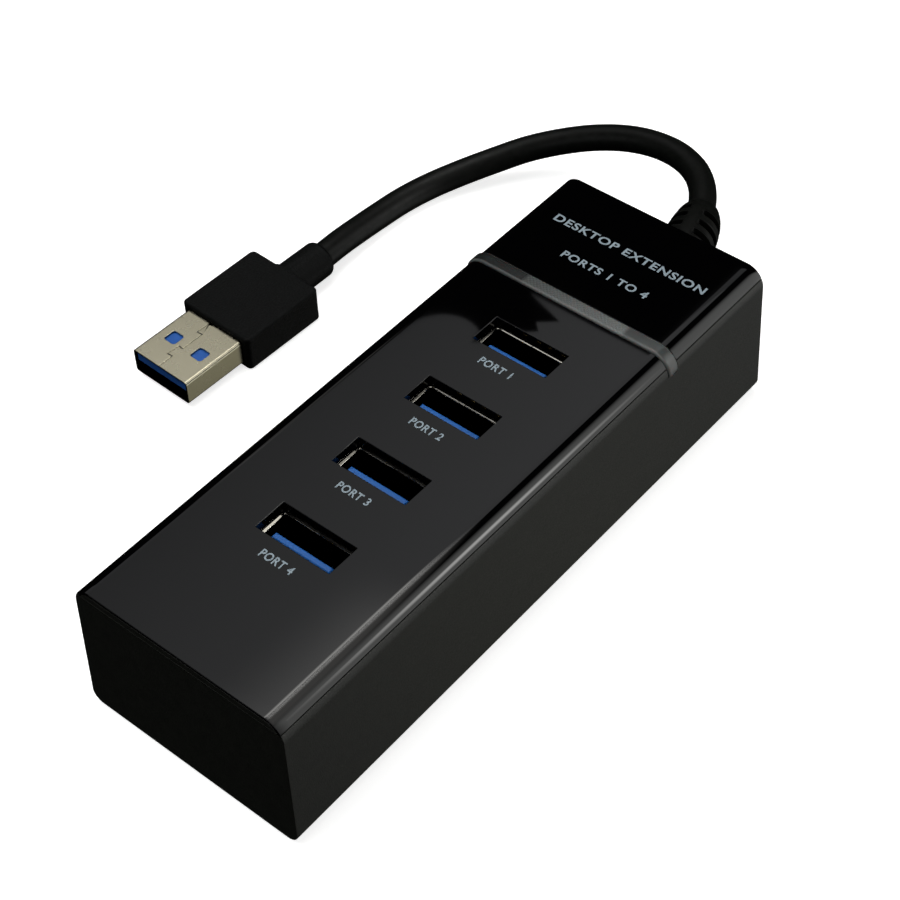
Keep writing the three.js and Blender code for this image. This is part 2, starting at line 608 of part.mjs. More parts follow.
place('strain_relief', strainRelief(), finishes.leadBlack());
place('cable', cable(), finishes.leadBlack());
for (let index = 0; index < CONDUCTOR.count; index += 1) {
  place(`conductor_${index + 1}`, conductor(index), finish(CONDUCTOR_COLOURS[index], 0.5));
}

// ---------------------------------------------------------------- plug

// In the plug's own frame the overmould's front face is at y = 0 and the lead is at +Y.
const plug = new THREE.Group();
plug.position.set(PLUG_PLACE.x, PLUG_PLACE.y, OVERMOLD.z / 2);
plug.rotation.z = THREE.MathUtils.degToRad(PLUG_PLACE.yawDegrees);
hub.add(plug);

function plugOvermold() {
  const { x, y, z, frontRadius, rearRadius } = OVERMOLD;
  const { radius, length, edge } = OVERMOLD_BOSS;
  const plan = roundedRectangle(-x / 2, x / 2, 0, y, frontRadius, rearRadius);
  const grip = solid(extrudeUp(plan, [-z / 2, z / 2], 5));
  const bossProfile = [
    [0, y - MERGE],
    [radius, y - MERGE],
    [radius, y + length - edge],
    [radius - edge / 2, y + length],
    [0, y + length],
  ];
  const boss = turned(bossProfile);
  const pocket = box(
    [-PLUG_POCKET.x / 2, PLUG_POCKET.x / 2],
    [-CUT_PAST, PLUG_POCKET.depth],
    [-PLUG_POCKET.z / 2, PLUG_POCKET.z / 2],
  );
  return geometryOf(grip.add(boss).subtract(pocket));
}

function plugShell() {
  const { x, z, sheet, cornerRadius, exposed, embedded } = PLUG_SHELL;
  const outline = roundedRectangle(-x / 2, x / 2, -z / 2, z / 2, cornerRadius);
  const innerX = x / 2 - sheet;
  const innerZ = z / 2 - sheet;
  outline.holes.push(roundedRectangle(-innerX, innerX, -innerZ, innerZ, cornerRadius - sheet));
  const sleeve = solid(extrudeAlongY(outline, [-exposed, embedded], 3));
  const windowY = -exposed + PLUG_WINDOW.fromTip;
  const windows = [-1, 1].map(
    (side) => centredBox(side * PLUG_WINDOW.x, windowY, PLUG_WINDOW.size, PLUG_WINDOW.size, [-z, z]),
  );
  return geometryOf(without(sleeve, windows));
}

// The insulator lies against the shell's upper wall and thickens to a block behind.
function plugInsulator() {
  const ceiling = PLUG_SHELL.z / 2 - PLUG_SHELL.sheet - PLUG_TONGUE.belowShell;
  const half = PLUG_TONGUE.x / 2;
  const tip = -PLUG_SHELL.exposed + PLUG_TONGUE.tipSetback;
  const blockStart = PLUG_SHELL.embedded - PLUG_TONGUE.rearBlock;
  const tongue = box([-half, half], [tip, PLUG_SHELL.embedded], [ceiling - PLUG_TONGUE.z, ceiling]);
  const block = box([-half, half], [blockStart, PLUG_SHELL.embedded], [-ceiling, ceiling]);
  return geometryOf(tongue.add(block));
}

// Flat contacts under the tongue, joined by their carrier strip in front of the block.
function plugContacts() {
  const ceiling = PLUG_SHELL.z / 2 - PLUG_SHELL.sheet - PLUG_TONGUE.belowShell;
  const face = ceiling - PLUG_TONGUE.z - CONTACT.gap;
  const height = [face - CONTACT.thickness, face];
  const tip = -PLUG_SHELL.exposed + PLUG_TONGUE.tipSetback + PLUG_CONTACT_SETBACK;
  const rear = PLUG_SHELL.embedded - PLUG_TONGUE.rearBlock - CONTACT.thickness;
  const halfWidth = CONTACT.width / 2;
  const blades = CONTACT_X.map((x) => box([x - halfWidth, x + halfWidth], [tip, rear], height));
  const reach = CONTACT_X.at(-1) + halfWidth;
  return geometryOf(union([box([-reach, reach], [rear - CONTACT.carrier, rear], height), ...blades]));
}

place('plug_overmold', plugOvermold(), finishes.mattBlack(), plug);
place('plug_shell', plugShell(), finishes.nickel(), plug);
place('plug_insulator', plugInsulator(), finishes.bluePlastic(), plug);
place('plug_contacts', plugContacts(), finishes.gold(), plug);

export default hub;
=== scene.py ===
"""A four-port desktop hub with its captive lead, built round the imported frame.

The mesh code below works in millimetres in the row frame, and add_piece() scales each finished mesh to
metres.
"""

import math
from contextlib import contextmanager

import bmesh
import bpy
from mathutils import Matrix, Vector


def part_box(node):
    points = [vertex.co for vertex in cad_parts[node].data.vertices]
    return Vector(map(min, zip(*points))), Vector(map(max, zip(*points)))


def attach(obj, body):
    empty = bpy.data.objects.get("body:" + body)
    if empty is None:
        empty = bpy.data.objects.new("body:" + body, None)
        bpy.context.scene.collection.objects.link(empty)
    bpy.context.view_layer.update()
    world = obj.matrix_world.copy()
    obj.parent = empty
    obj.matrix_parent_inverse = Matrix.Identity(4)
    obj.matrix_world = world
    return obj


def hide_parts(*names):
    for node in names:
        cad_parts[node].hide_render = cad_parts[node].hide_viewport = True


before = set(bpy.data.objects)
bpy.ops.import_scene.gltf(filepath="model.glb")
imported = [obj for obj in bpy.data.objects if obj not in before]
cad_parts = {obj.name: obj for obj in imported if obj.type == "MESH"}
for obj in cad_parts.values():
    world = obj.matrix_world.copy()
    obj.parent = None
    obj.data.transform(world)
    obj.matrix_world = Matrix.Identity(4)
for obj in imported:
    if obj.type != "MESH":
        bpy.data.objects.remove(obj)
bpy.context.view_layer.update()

MM = 0.001
CLOSE = 1e-4


def span(node):
    """A CAD node's lowest and highest corner, in millimetres."""
    low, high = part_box(node)
    return low / MM, high / MM


# ------------------------------------------------------------ dimensions

COVER_LOW, COVER_HIGH = span("top_cover")
COVER_THICKNESS = 1.6
TOP_RADIUS = 3.1
BOTTOM_RADIUS = 1.8
HALF_WIDTH = COVER_HIGH.x + TOP_RADIUS - math.sqrt(TOP_RADIUS ** 2 - (TOP_RADIUS - COVER_THICKNESS) ** 2)
HALF_LENGTH = COVER_HIGH.y
CASE_TOP = COVER_HIGH.z
CASE_BOTTOM = span("base_case")[0].z
DRAFT = 0.6
END_RADIUS = 0.15
WALL = 1.8
PARTING = CASE_TOP - COVER_THICKNESS
SEAM = 0.12
END_LIP = 0.5
COVER_RIM = {"gap": 0.15, "wall": 1, "depth": 2.2}
MERGE = 0.4
ROUND_STEPS = 16

PORTS = range(1, 5)
PORT_OPENING = (13.05, 5.5)
COLLAR_INNER = (13.5, 6.1)
COLLAR_WALL = 1.1
COLLAR_DEPTH = 3.0
SOCKET_SHEET = 0.3
SOCKET_RIM = span("receptacle_shell_1")[1].z
SOCKET_CORNER = 0.6
SPRINGS = [(x, side) for x in (-3.6, 3.6) for side in (-1, 1)]
MOUTH_SLOPE = {"near": math.radians(38), "far": math.radians(18)}
TONGUE_TAPER = {"inward": 0.53, "rise": 0.9}
TONGUE_FACES = {"far": -0.1, "near": -1.94, "half_width": 5.55}
CONTACT_X = (-3.5, -1.0, 1.0, 3.5)
SHORT_CONTACT_X = (-4.0, -2.0, 0.0, 2.0, 4.0)

BAR_LOW, BAR_HIGH = span("light_bar")
BAR_PROUD = BAR_HIGH.z - CASE_TOP
BAR_LOW_SIDE = PARTING - 1.5
BAR_SINK = 0.8
BAR_CLEARANCE = 0.12
BAR_LEG = {"top": 9.0, "bottom": 5.5, "thickness": 1.6}
BAR_DOT_PITCH = {"X": 0.62, "Y": 0.7}

SCREW_SEAT = 2.0
SCREW_BORE = 2.65
SCREW_HOLE = 1.5
SCREW_BOSS = 3.0
SCREW_COLUMN = 2.6
SCREW_PILOT = 1.4
PILOT_DEPTH = 7
SCREW_CROSS = {"reach": 1.35, "half": 0.28, "depth": 0.75}
FOOT_POCKET = 4.2
FOOT_POCKET_DEPTH = 0.6
BOARD_POST = 2.2
BOARD_POSTS = [(x, y) for x in (-13.8, 13.8) for y in (-36.5, 36.5)]
BOARD_UNDERSIDE, BOARD_TOP = (corner.z for corner in span("circuit_board"))

CABLE_DIAMETER = 0.0045
CABLE_BORE = 2.28
LEAD_HOLE = 4.3
RELIEF_START = HALF_LENGTH + DRAFT
RELIEF_LENGTH = 17.2
RELIEF_RINGS = 72
FLANGE = {"radius": 6, "edge": 0.2, "thickness": 2, "neck": 4}
RELIEF_SLOT = {"width": 1.15, "pitch": 2.5, "first": 3.0, "count": 5, "core": 3.05, "from_axis": 1.1}

# The lead's centre line, in metres: straight out through the strain relief, round behind the case in one
# loose bend as it sinks to the table, then along the table to the plug.
CABLE_ROUTE = [
    (0, 0.045, 0.0126), (0, 0.049, 0.0126), (0, 0.053, 0.0126), (-0.0004, 0.057, 0.0126),
    (-0.0013, 0.061, 0.0126), (-0.0026, 0.0654, 0.0126), (-0.0045, 0.0699, 0.0126),
    (-0.0074, 0.0743, 0.0125), (-0.0111, 0.0776, 0.0122), (-0.0158, 0.0797, 0.0117),
    (-0.0208, 0.0804, 0.011), (-0.02605, 0.07995, 0.01), (-0.0316, 0.07825, 0.0086),
    (-0.03665, 0.07545, 0.0071), (-0.0411, 0.0717, 0.0057), (-0.0449, 0.06695, 0.0043),
    (-0.04805, 0.0619, 0.0033), (-0.0505, 0.0568, 0.0026), (-0.052, 0.0514, 0.0023), (-0.0526, 0.046, 0.0023),
    (-0.05275, 0.041, 0.0026), (-0.0527, 0.036, 0.003), (-0.05252, 0.0315, 0.0032),
]
STRAIGHT_END = 53.0

# In the plug's own frame the grip's front face is at y = 0, the lead is at +Y and z = 0 is the middle.
PLUG_PLACE = Matrix.Translation((-53.3, 7.4, 3.2)) @ Matrix.Rotation(math.radians(-1.9), 4, "Z")
GRIP = {"x": 14.8, "y": 16.0, "z": 6.4, "front": 0.8, "rear": 0.9}
BOSS = {"radius": 3.15, "length": 8.25, "edge": 1.0}
PLUG_SHELL = {"x": 12.0, "z": 4.5, "sheet": 0.3, "corner": 0.5, "exposed": 11.9, "embedded": 5.7}
PLUG_POCKET = {"x": 12.3, "z": 4.8, "depth": 6}
PLUG_WINDOW = {"size": 2.35, "x": 2.95, "from_tip": 5.9}
PLUG_TONGUE = {"x": 11.1, "z": 1.9, "setback": 0.35}


# ------------------------------------------------------------ camera

CAMERA = {
    "place": (0.1333, -0.1496, 0.23345), "target": (-0.00281, 0.00489, 0.0123), "roll": -2.38, "lens": 84.12,
}


def new_object(name, data):
    """An object in the scene that has that data."""
    item = bpy.data.objects.new(name, data)
    bpy.context.scene.collection.objects.link(item)
    return item


def make_camera():
    camera = new_object("camera", bpy.data.cameras.new("camera"))
    camera.data.lens = CAMERA["lens"]
    camera.data.sensor_width = 36
    camera.data.clip_start = 0.01
    camera.location = CAMERA["place"]
    look = Vector(CAMERA["target"]) - Vector(CAMERA["place"])
    aim = look.to_track_quat("-Z", "Y").to_matrix().to_4x4()
    turn = aim @ Matrix.Rotation(math.radians(CAMERA["roll"]), 4, "Z")
    camera.rotation_euler = turn.to_euler()
    bpy.context.scene.camera = camera


# ------------------------------------------------------------ route

def spline_points(points, steps):
    """A centripetal Catmull-Rom curve through the points, as points of its own."""
    knots = [Vector(point) for point in points]
    knots = [2 * knots[0] - knots[1], *knots, 2 * knots[-1] - knots[-2]]
    curve = [knots[1]]
    for index in range(len(knots) - 3):
        p0, p1, p2, p3 = knots[index:index + 4]
        t1 = (p1 - p0).length ** 0.5
        t2 = t1 + (p2 - p1).length ** 0.5
        t3 = t2 + (p3 - p2).length ** 0.5
        for step in range(1, steps + 1):
            t = t1 + (t2 - t1) * step / steps
            a1 = p0.lerp(p1, t / t1)
            a2 = p1.lerp(p2, (t - t1) / (t2 - t1))
            a3 = p2.lerp(p3, (t - t2) / (t3 - t2))
            b1 = a1.lerp(a2, t / t2)
            b2 = a2.lerp(a3, (t - t1) / (t3 - t1))
            curve.append(b1.lerp(b2, (t - t1) / (t2 - t1)))
    return curve


ROUTE = spline_points(CABLE_ROUTE, 8)


def route_at(distance):
    """The lead's centre and direction at that distance along it, all in millimetres."""
    travelled = 0.0
    for start, end in zip(ROUTE, ROUTE[1:]):
        length = (end - start).length / MM
        if travelled + length >= distance:
            return start.lerp(end, (distance - travelled) / length) / MM, (end - start).normalized()
        travelled += length
    return ROUTE[-1] / MM, (ROUTE[-1] - ROUTE[-2]).normalized()


def bend_along_route(mesh):
    """Bends a mesh that was made along +Y about the origin so that it follows the lead."""
    start = ROUTE[0] / MM
    for vertex in mesh.vertices:
        across, along, height = vertex.co
        if along <= STRAIGHT_END:
            vertex.co = (across, along, start.z + height)
            continue
        centre, direction = route_at(along - start.y)
        sideways = Vector((direction.y, -direction.x, 0)).normalized()
        vertex.co = centre + sideways * across + sideways.cross(direction) * height
    return mesh


# ------------------------------------------------------------ mesh tools

def arc(centre, radius, start, end, steps):
    """Points on an arc, with the angles in degrees and both ends included."""
    angles = [math.radians(start + (end - start) * step / steps) for step in range(steps + 1)]
    return [(centre[0] + radius * math.cos(a), centre[1] + radius * math.sin(a)) for a in angles]


def rounded(x0, x1, y0, y1, low_radius, high_radius=None, steps=6):
    """A rectangle with one radius for its two low corners and one for its two high corners."""
    top = low_radius if high_radius is None else high_radius
    return [
        *arc((x1 - low_radius, y0 + low_radius), low_radius, -90, 0, steps),
        *arc((x1 - top, y1 - top), top, 0, 90, steps),
        *arc((x0 + top, y1 - top), top, 90, 180, steps),
        *arc((x0 + low_radius, y0 + low_radius), low_radius, 180, 270, steps),
    ]


def centred(width, depth, radius, at=(0, 0), steps=6):
    """A rounded rectangle about a point."""
    x, y = at
    return rounded(x - width / 2, x + width / 2, y - depth / 2, y + depth / 2, radius, steps=steps)


@contextmanager
def edited(mesh):
    """Opens a mesh for bmesh operations and writes the result back."""
    work = bmesh.new()
    work.from_mesh(mesh)
    yield work
    work.to_mesh(mesh)
    work.free()


def mesh_from(vertices, faces):
    mesh = bpy.data.meshes.new("part")
    mesh.from_pydata([tuple(v) for v in vertices], [], faces)
    with edited(mesh) as work:
        bmesh.ops.remove_doubles(work, verts=work.verts, dist=CLOSE)
        bmesh.ops.recalc_face_normals(work, faces=work.faces)
    return mesh


def prism(outline, low, high, axis="z"):
    """A closed prism. Its outline is (x, y) for a prism along Z, (x, z) along Y and (y, z) along X."""
    orders = {"z": lambda a, b, c: (a, b, c), "y": lambda a, b, c: (a, c, b), "x": lambda a, b, c: (c, a, b)}
    order = orders[axis]
    count = len(outline)
    vertices = [order(a, b, level) for level in (low, high) for a, b in outline]
    sides = [(i, (i + 1) % count, count + (i + 1) % count, count + i) for i in range(count)]
    return mesh_from(vertices, [tuple(range(count))[::-1], tuple(range(count, 2 * count)), *sides])


def box(x, y, z):
    return prism([(x[0], y[0]), (x[1], y[0]), (x[1], y[1]), (x[0], y[1])], z[0], z[1])


def lathe(profile, segments=48, axis="z", at=(0, 0, 0)):
    """A closed solid turned about an axis from (radius, height) points that start and end on it."""
    order = {"z": lambda x, y, h: (x, y, h), "y": lambda x, y, h: (x, h, y)}[axis]
    vertices = []
    for radius, height in profile:
        for step in range(segments):
            angle = 2 * math.pi * step / segments
            point = order(radius * math.cos(angle), radius * math.sin(angle), height)
            vertices.append(Vector(point) + Vector(at))
    faces = [
        (ring * segments + i, ring * segments + (i + 1) % segments,
         (ring + 1) * segments + (i + 1) % segments, (ring + 1) * segments + i)
        for ring in range(len(profile) - 1) for i in range(segments)
    ]
    return mesh_from(vertices, faces)


def cylinder(radius, low, high, at=(0, 0), segments=48):
    """A solid cylinder along Z."""
    return lathe([(0, low), (radius, low), (radius, high), (0, high)], segments, at=(at[0], at[1], 0))


def rod(radius, near, far, at=(0, 0, 0), segments=64):
    """A solid cylinder along Y."""
    return lathe([(0, near), (radius, near), (radius, far), (0, far)], segments, "y", at)


def joined(meshes):
    """Several meshes in one, each left as a closed body of its own."""
    work = bmesh.new()
    for mesh in meshes:
        work.from_mesh(mesh)
    result = bpy.data.meshes.new("part")
    work.to_mesh(result)
    work.free()
    return result


def moved(mesh, matrix):
    mesh.transform(matrix)
    return mesh


def shifted(mesh, x=0.0, y=0.0, z=0.0):
    return moved(mesh, Matrix.Translation((x, y, z)))


def evaluated_mesh(item):
    """The mesh that an object's modifiers or text make."""
    bpy.context.view_layer.update()
    return bpy.data.meshes.new_from_object(item.evaluated_get(bpy.context.evaluated_depsgraph_get()))


def combined(mesh, others, operation):
    """Boolean union of, or difference between, a mesh and several others."""
    scratch = [new_object("scratch", part) for part in [mesh, *others]]
    for other in scratch[1:]:
        modifier = scratch[0].modifiers.new("join", "BOOLEAN")
        modifier.operation = operation
        modifier.solver = "EXACT"
        modifier.object = other
    result = evaluated_mesh(scratch[0])
    for part in scratch:
        bpy.data.objects.remove(part)
    return result


def union(mesh, *others):
    return combined(mesh, others, "UNION")


def cut(mesh, *others):
    return combined(mesh, others, "DIFFERENCE")


def rounded_edges(mesh, chosen, width, segments):
    """Rounds the edges that chosen(edge) picks."""
    with edited(mesh) as work:
        edges = [edge for edge in work.edges if chosen(edge)]
        bmesh.ops.bevel(work, geom=edges, offset=width, segments=segments, profile=0.5, affect="EDGES")
    return mesh


def add_piece(name, mesh, material, stands_for=(), edge=0.0, segments=2, angle=35):
    """Makes a finished piece from a mesh in millimetres: its edges, smooth shading, finish and body."""
    mesh.transform(Matrix.Scale(MM, 4))
    mesh.name = name
    mesh.materials.clear()
    mesh.materials.append(material)
    mesh.polygons.foreach_set("use_smooth", [True] * len(mesh.polygons))
    mesh.polygons.foreach_set("material_index", [0] * len(mesh.polygons))
    piece = new_object(name, mesh)
    if edge:
        bevel = piece.modifiers.new("edges", "BEVEL")
        bevel.width = edge * MM
        bevel.segments = segments
        bevel.limit_method = "ANGLE"
        bevel.angle_limit = math.radians(angle)
        bevel.use_clamp_overlap = False
        bevel.miter_outer = "MITER_ARC"
    else:
        mesh.set_sharp_from_angle(angle=math.radians(angle))
    normals = piece.modifiers.new("normals", "WEIGHTED_NORMAL")
    normals.keep_sharp = True
    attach(piece, "root")
    if stands_for:
        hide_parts(*stands_for)
    return piece


# ------------------------------------------------------------ finishes

class Finish:
    """A Principled material with the nodes that give its surface detail, in object coordinates."""

    def __init__(self, name, colour, roughness, metallic=0.0, **sockets):
        self.material = bpy.data.materials.new(name)
        self.material.use_nodes = True
        self.nodes = self.material.node_tree.nodes
        self.links = self.material.node_tree.links
        self.shader = self.nodes["Principled BSDF"]
        self.shader.inputs["Base Color"].default_value = (*colour, 1)
        self.shader.inputs["Roughness"].default_value = roughness
        self.shader.inputs["Metallic"].default_value = metallic
        for socket, value in sockets.items():
            self.shader.inputs[socket.replace("_", " ")].default_value = value

    def place(self, stretch=(1, 1, 1)):
        coordinates = self.nodes.new("ShaderNodeTexCoord")
        mapping = self.nodes.new("ShaderNodeMapping")
        mapping.inputs["Scale"].default_value = stretch
        self.links.new(coordinates.outputs["Object"], mapping.inputs["Vector"])
        return mapping.outputs["Vector"]

    def axes(self, vector=None):
        """The X, Y and Z of a place, in metres: of the point itself unless another vector is given."""
        node = self.nodes.new("ShaderNodeSeparateXYZ")
        self.links.new(vector or self.place(), node.inputs["Vector"])
        return node.outputs

    def noise(self, size, detail=3.0, stretch=(1, 1, 1)):
        """Noise whose features are about that many millimetres across."""
        node = self.nodes.new("ShaderNodeTexNoise")
        node.inputs["Scale"].default_value = 1 / (size * MM)
        node.inputs["Detail"].default_value = detail
        self.links.new(self.place(stretch), node.inputs["Vector"])
        return node.outputs["Fac"]

    def cells(self, size, stretch=(1, 1, 1)):
        node = self.nodes.new("ShaderNodeTexVoronoi")
        node.inputs["Scale"].default_value = 1 / (size * MM)
        self.links.new(self.place(stretch), node.inputs["Vector"])
        return node.outputs["Distance"]

    def math(self, operation, first, second=0.0):
        node = self.nodes.new("ShaderNodeMath")
        node.operation = operation
        for socket, value in zip(node.inputs, (first, second)):
            if isinstance(value, (int, float)):
                socket.default_value = value
            else:
                self.links.new(value, socket)
        return node.outputs[0]

    def between(self, pattern, low, high, start=0.3, end=0.7):
        """Runs from low to high as the pattern goes from start to end."""
        node = self.nodes.new("ShaderNodeMapRange")
        for socket, value in (("From Min", start), ("From Max", end), ("To Min", low), ("To Max", high)):
            node.inputs[socket].default_value = value
        self.links.new(pattern, node.inputs["Value"])
        return node.outputs["Result"]

    def tint(self, pattern, first, second, start=0.3, end=0.7):
        ramp = self.nodes.new("ShaderNodeValToRGB")
        ramp.color_ramp.elements[0].position = start
        ramp.color_ramp.elements[1].position = end
        ramp.color_ramp.elements[0].color = (*first, 1)
        ramp.color_ramp.elements[1].color = (*second, 1)
        self.links.new(pattern, ramp.inputs["Fac"])
        self.links.new(ramp.outputs["Color"], self.shader.inputs["Base Color"])
        return self

    def rough(self, pattern, low, high, start=0.3, end=0.7):
        self.links.new(self.between(pattern, low, high, start, end), self.shader.inputs["Roughness"])
        return self

    def bump(self, pattern, depth, strength):
        """Relief of that many millimetres."""
        node = self.nodes.new("ShaderNodeBump")
        node.inputs["Distance"].default_value = depth * MM
        node.inputs["Strength"].default_value = strength
        self.links.new(pattern, node.inputs["Height"])
        self.links.new(node.outputs["Normal"], self.shader.inputs["Normal"])
        return self


def plain(name, colour, roughness, metallic=0.0, tint=None, rough=None, bump=None, **sockets):
    """A finish whose colour, roughness and relief each follow a noise, given by size, detail and two values."""
    finish = Finish(name, colour, roughness, metallic, **sockets)
    for use, values in ((finish.tint, tint), (finish.rough, rough), (finish.bump, bump)):
        if values:
            use(finish.noise(*values[:2]), *values[2:])
    return finish.material


def gloss_black():
    return plain(
        "gloss_black", (0.0003, 0.0003, 0.0004), 0.04,
        rough=(9, 4, 0.02, 0.03), bump=(2.5, 1, 0.001, 0.1), IOR=1.5,
    )


def spark_eroded_black():
    """Moulded black plastic with the fine grain of a spark-eroded tool."""
    finish = Finish("matt_black", (0.0115, 0.0122, 0.01), 0.5, Specular_IOR_Level=0.4)
    grain = finish.noise(0.22, 4)
    finish.tint(finish.noise(1.4, 4), (0.0088, 0.0094, 0.0076), (0.012, 0.0128, 0.0104))
    finish.rough(grain, 0.44, 0.6)
    finish.bump(grain, 0.035, 0.55)
    return finish.material


def bar_clear():
    """Clear grey plastic with a fine dotted diffuser along the middle of the bar, lighter towards its +X end,
    and a painted highlight along its two long edges.
    """
    finish = Finish(
        "clear_grey", (0.1, 0.11, 0.11), 0.2, IOR=1.49, Transmission_Weight=0.2, Subsurface_Weight=0.2,
        Subsurface_Scale=0.002,
    )
    axes = finish.axes()
    waves = [
        finish.math("SINE", finish.math("MULTIPLY", axes[axis], 2 * math.pi / (pitch * MM)))
        for axis, pitch in BAR_DOT_PITCH.items()
    ]
    dots = finish.math("MULTIPLY_ADD", finish.math("MULTIPLY", *waves), 0.5)
    centre = finish.math("ABSOLUTE", finish.math("SUBTRACT", axes["X"], 0.9 * MM))
    inside = finish.between(centre, 1, 0, 8.8 * MM, 9.4 * MM)
    height = finish.math("MULTIPLY", dots, inside)
    along = finish.between(axes["X"], 0, 1, -14 * MM, 14 * MM)
    across = finish.math("ABSOLUTE", finish.math("SUBTRACT", axes["Y"], (BAR_LOW.y + BAR_HIGH.y) / 2 * MM))
    half = (BAR_HIGH.y - BAR_LOW.y) / 2
    light = finish.math("MULTIPLY", along, 0.25)
    for part in (
        finish.math("MULTIPLY", finish.math("MULTIPLY", along, 0.42), inside),
        finish.math("MULTIPLY", height, 0.16),
        finish.math("MULTIPLY", finish.noise(3, 3), 0.08),
        # painted highlight: the colour lightens over the last 0.3 mm to each long edge of the bar
        finish.between(across, 0, 0.5, (half - 0.3) * MM, (half - 0.12) * MM),
    ):
        light = finish.math("ADD", light, part)
    finish.tint(light, (0.006, 0.007, 0.007), (0.2, 0.215, 0.21), 0, 1)
    finish.bump(height, 0.06, 0.8)
    return finish.material


def blue_plastic():
    return plain(
        "blue_plastic", (0.02, 0.1, 0.38), 0.4,
        tint=(1.6, 3, (0.018, 0.09, 0.34), (0.024, 0.108, 0.41)), rough=(0.4, 3, 0.34, 0.5),
        bump=(0.25, 2, 0.008, 0.4), Specular_IOR_Level=0.25,
    )


def socket_blue(tip):
    """The sockets' cores: the same blue, with painted shade that darkens them from just below their tip down
    into the socket.
    """
    finish = Finish("socket_blue", (0.014, 0.105, 0.37), 0.36, Specular_IOR_Level=0.3)
    # painted shade: the blue darkens from 0.5 mm below the tip and is near black from 1.1 mm below it, with a
    # little noise
    height = finish.between(finish.axes()["Z"], 0, 0.85, (tip - 1.1) * MM, (tip - 0.5) * MM)
    cloud = finish.math("ADD", height, finish.math("MULTIPLY", finish.noise(1.6, 3), 0.15))
    finish.tint(cloud, (0.001, 0.004, 0.014), (0.014, 0.105, 0.37), 0.08, 0.94)
    finish.rough(finish.noise(0.4, 3), 0.3, 0.46)
    finish.bump(finish.noise(0.25, 2), 0.008, 0.4)
    return finish.material


def nickel():
    """Folded plated sheet with a satin face and a faint warm cast, with painted shade darkening the inside of
    the sleeve.
    """
    finish = Finish("nickel", (0.6, 0.565, 0.42), 0.25, 1.0)
    local = finish.nodes.new("ShaderNodeMapping")
    local.vector_type = "TEXTURE"
    local.inputs["Location"].default_value = PLUG_PLACE.to_translation() * MM
    local.inputs["Rotation"].default_value = PLUG_PLACE.to_euler()
    finish.links.new(finish.place(), local.inputs["Vector"])
    axes = finish.axes(local.outputs["Vector"])
    # painted shade: the sleeve's inner walls, more than 0.2 mm in from its outer faces, are tinted near black
    inside = [
        finish.between(finish.math("ABSOLUTE", axes[axis]), 1, 0, (half - 0.2) * MM, (half - 0.12) * MM)
        for axis, half in (("X", PLUG_SHELL["x"] / 2), ("Z", PLUG_SHELL["z"] / 2))
    ]
    # face is 1 on the shell's outside and 0 on its inner walls, where the shade is painted
    face = finish.math("SUBTRACT", 1, finish.math("MULTIPLY", *inside))
    cloud = finish.math("ADD", finish.math("MULTIPLY", finish.noise(2.2, 4), 0.1), 0.9)
    finish.tint(finish.math("MULTIPLY", cloud, face), (0.015, 0.014, 0.012), (0.63, 0.59, 0.44), 0, 1)
    finish.rough(finish.noise(2.5, 2), 0.26, 0.28)
    finish.bump(finish.noise(4, 2), 0.002, 0.1)
    return finish.material


def socket_nickel():
    """The sockets' sleeves: the same plating, smoother; painted shade darkens them below the rim, and the rim
    is painted a lighter nickel to brighten its highlight.
    """
    finish = Finish("socket_nickel", (0.5, 0.47, 0.4), 0.12, 1.0)
    # painted shade and painted highlight: near black from 0.42 mm below the rim down, a light nickel over the
    # top 0.26 mm
    height = finish.between(finish.axes()["Z"], 0, 1, (SOCKET_RIM - 0.42) * MM, (SOCKET_RIM - 0.26) * MM)
    finish.tint(height, (0.015, 0.014, 0.013), (0.92, 0.88, 0.78), 0, 1)
    finish.rough(finish.noise(0.5, 3), 0.1, 0.18)
    return finish.material


def gold():
    return plain(
        "gold", (0.83, 0.57, 0.22), 0.24, 1.0,
        rough=(0.5, 3, 0.18, 0.34), bump=(0.3, 2, 0.004, 0.3),
    )


def lead_black():
    """Soft black PVC, satin."""
    return plain(
        "lead_black", (0.0028, 0.003, 0.0027), 0.42,
        tint=(1.2, 4, (0.002, 0.0023, 0.002), (0.0038, 0.0042, 0.0036)), rough=(0.7, 4, 0.34, 0.5),
        bump=(0.3, 3, 0.012, 0.35), Specular_IOR_Level=0.17,
    )


def grip_black():
    """Overmoulded black with the sandy grain of the grip."""
    finish = Finish("grip_black", (0.0021, 0.0024, 0.0024), 0.5, Specular_IOR_Level=0.13)
    grain = finish.noise(0.32, 4)
    finish.tint(finish.noise(0.5, 4), (0.0015, 0.0018, 0.0018), (0.003, 0.0033, 0.0033))
    finish.rough(grain, 0.4, 0.66)
    finish.bump(grain, 0.09, 1.0)
    return finish.material


def foot_rubber():
    return plain(
        "foot_rubber", (0.012, 0.012, 0.012), 0.8,
        rough=(0.5, 3, 0.7, 0.9), bump=(0.35, 4, 0.03, 0.5),
    )


def print_grey():
    return plain(
        "print_grey", (0.24, 0.3, 0.34), 0.5,
        tint=(0.25, 2, (0.21, 0.27, 0.31), (0.27, 0.33, 0.37)),
    )


def zinc():
    return plain(
        "screw_zinc", (0.24, 0.245, 0.25), 0.32, 1.0,
        rough=(0.6, 3, 0.25, 0.45), bump=(0.3, 3, 0.006, 0.4),
    )


def board_green():
    """Solder resist over copper tracks, with the tracks as faint ridges."""
    finish = Finish("board_green", (0.012, 0.075, 0.03), 0.3, IOR=1.5)
    tracks = finish.cells(2.4, stretch=(1, 0.25, 1))
    finish.tint(tracks, (0.016, 0.1, 0.04), (0.009, 0.06, 0.024), 0.2, 0.3)
    finish.bump(tracks, 0.03, 0.4)
    return finish.material


def chip_black():
    return plain(
        "chip_black", (0.018, 0.018, 0.019), 0.55,
        rough=(0.3, 3, 0.48, 0.65), bump=(0.15, 3, 0.01, 0.4),
    )


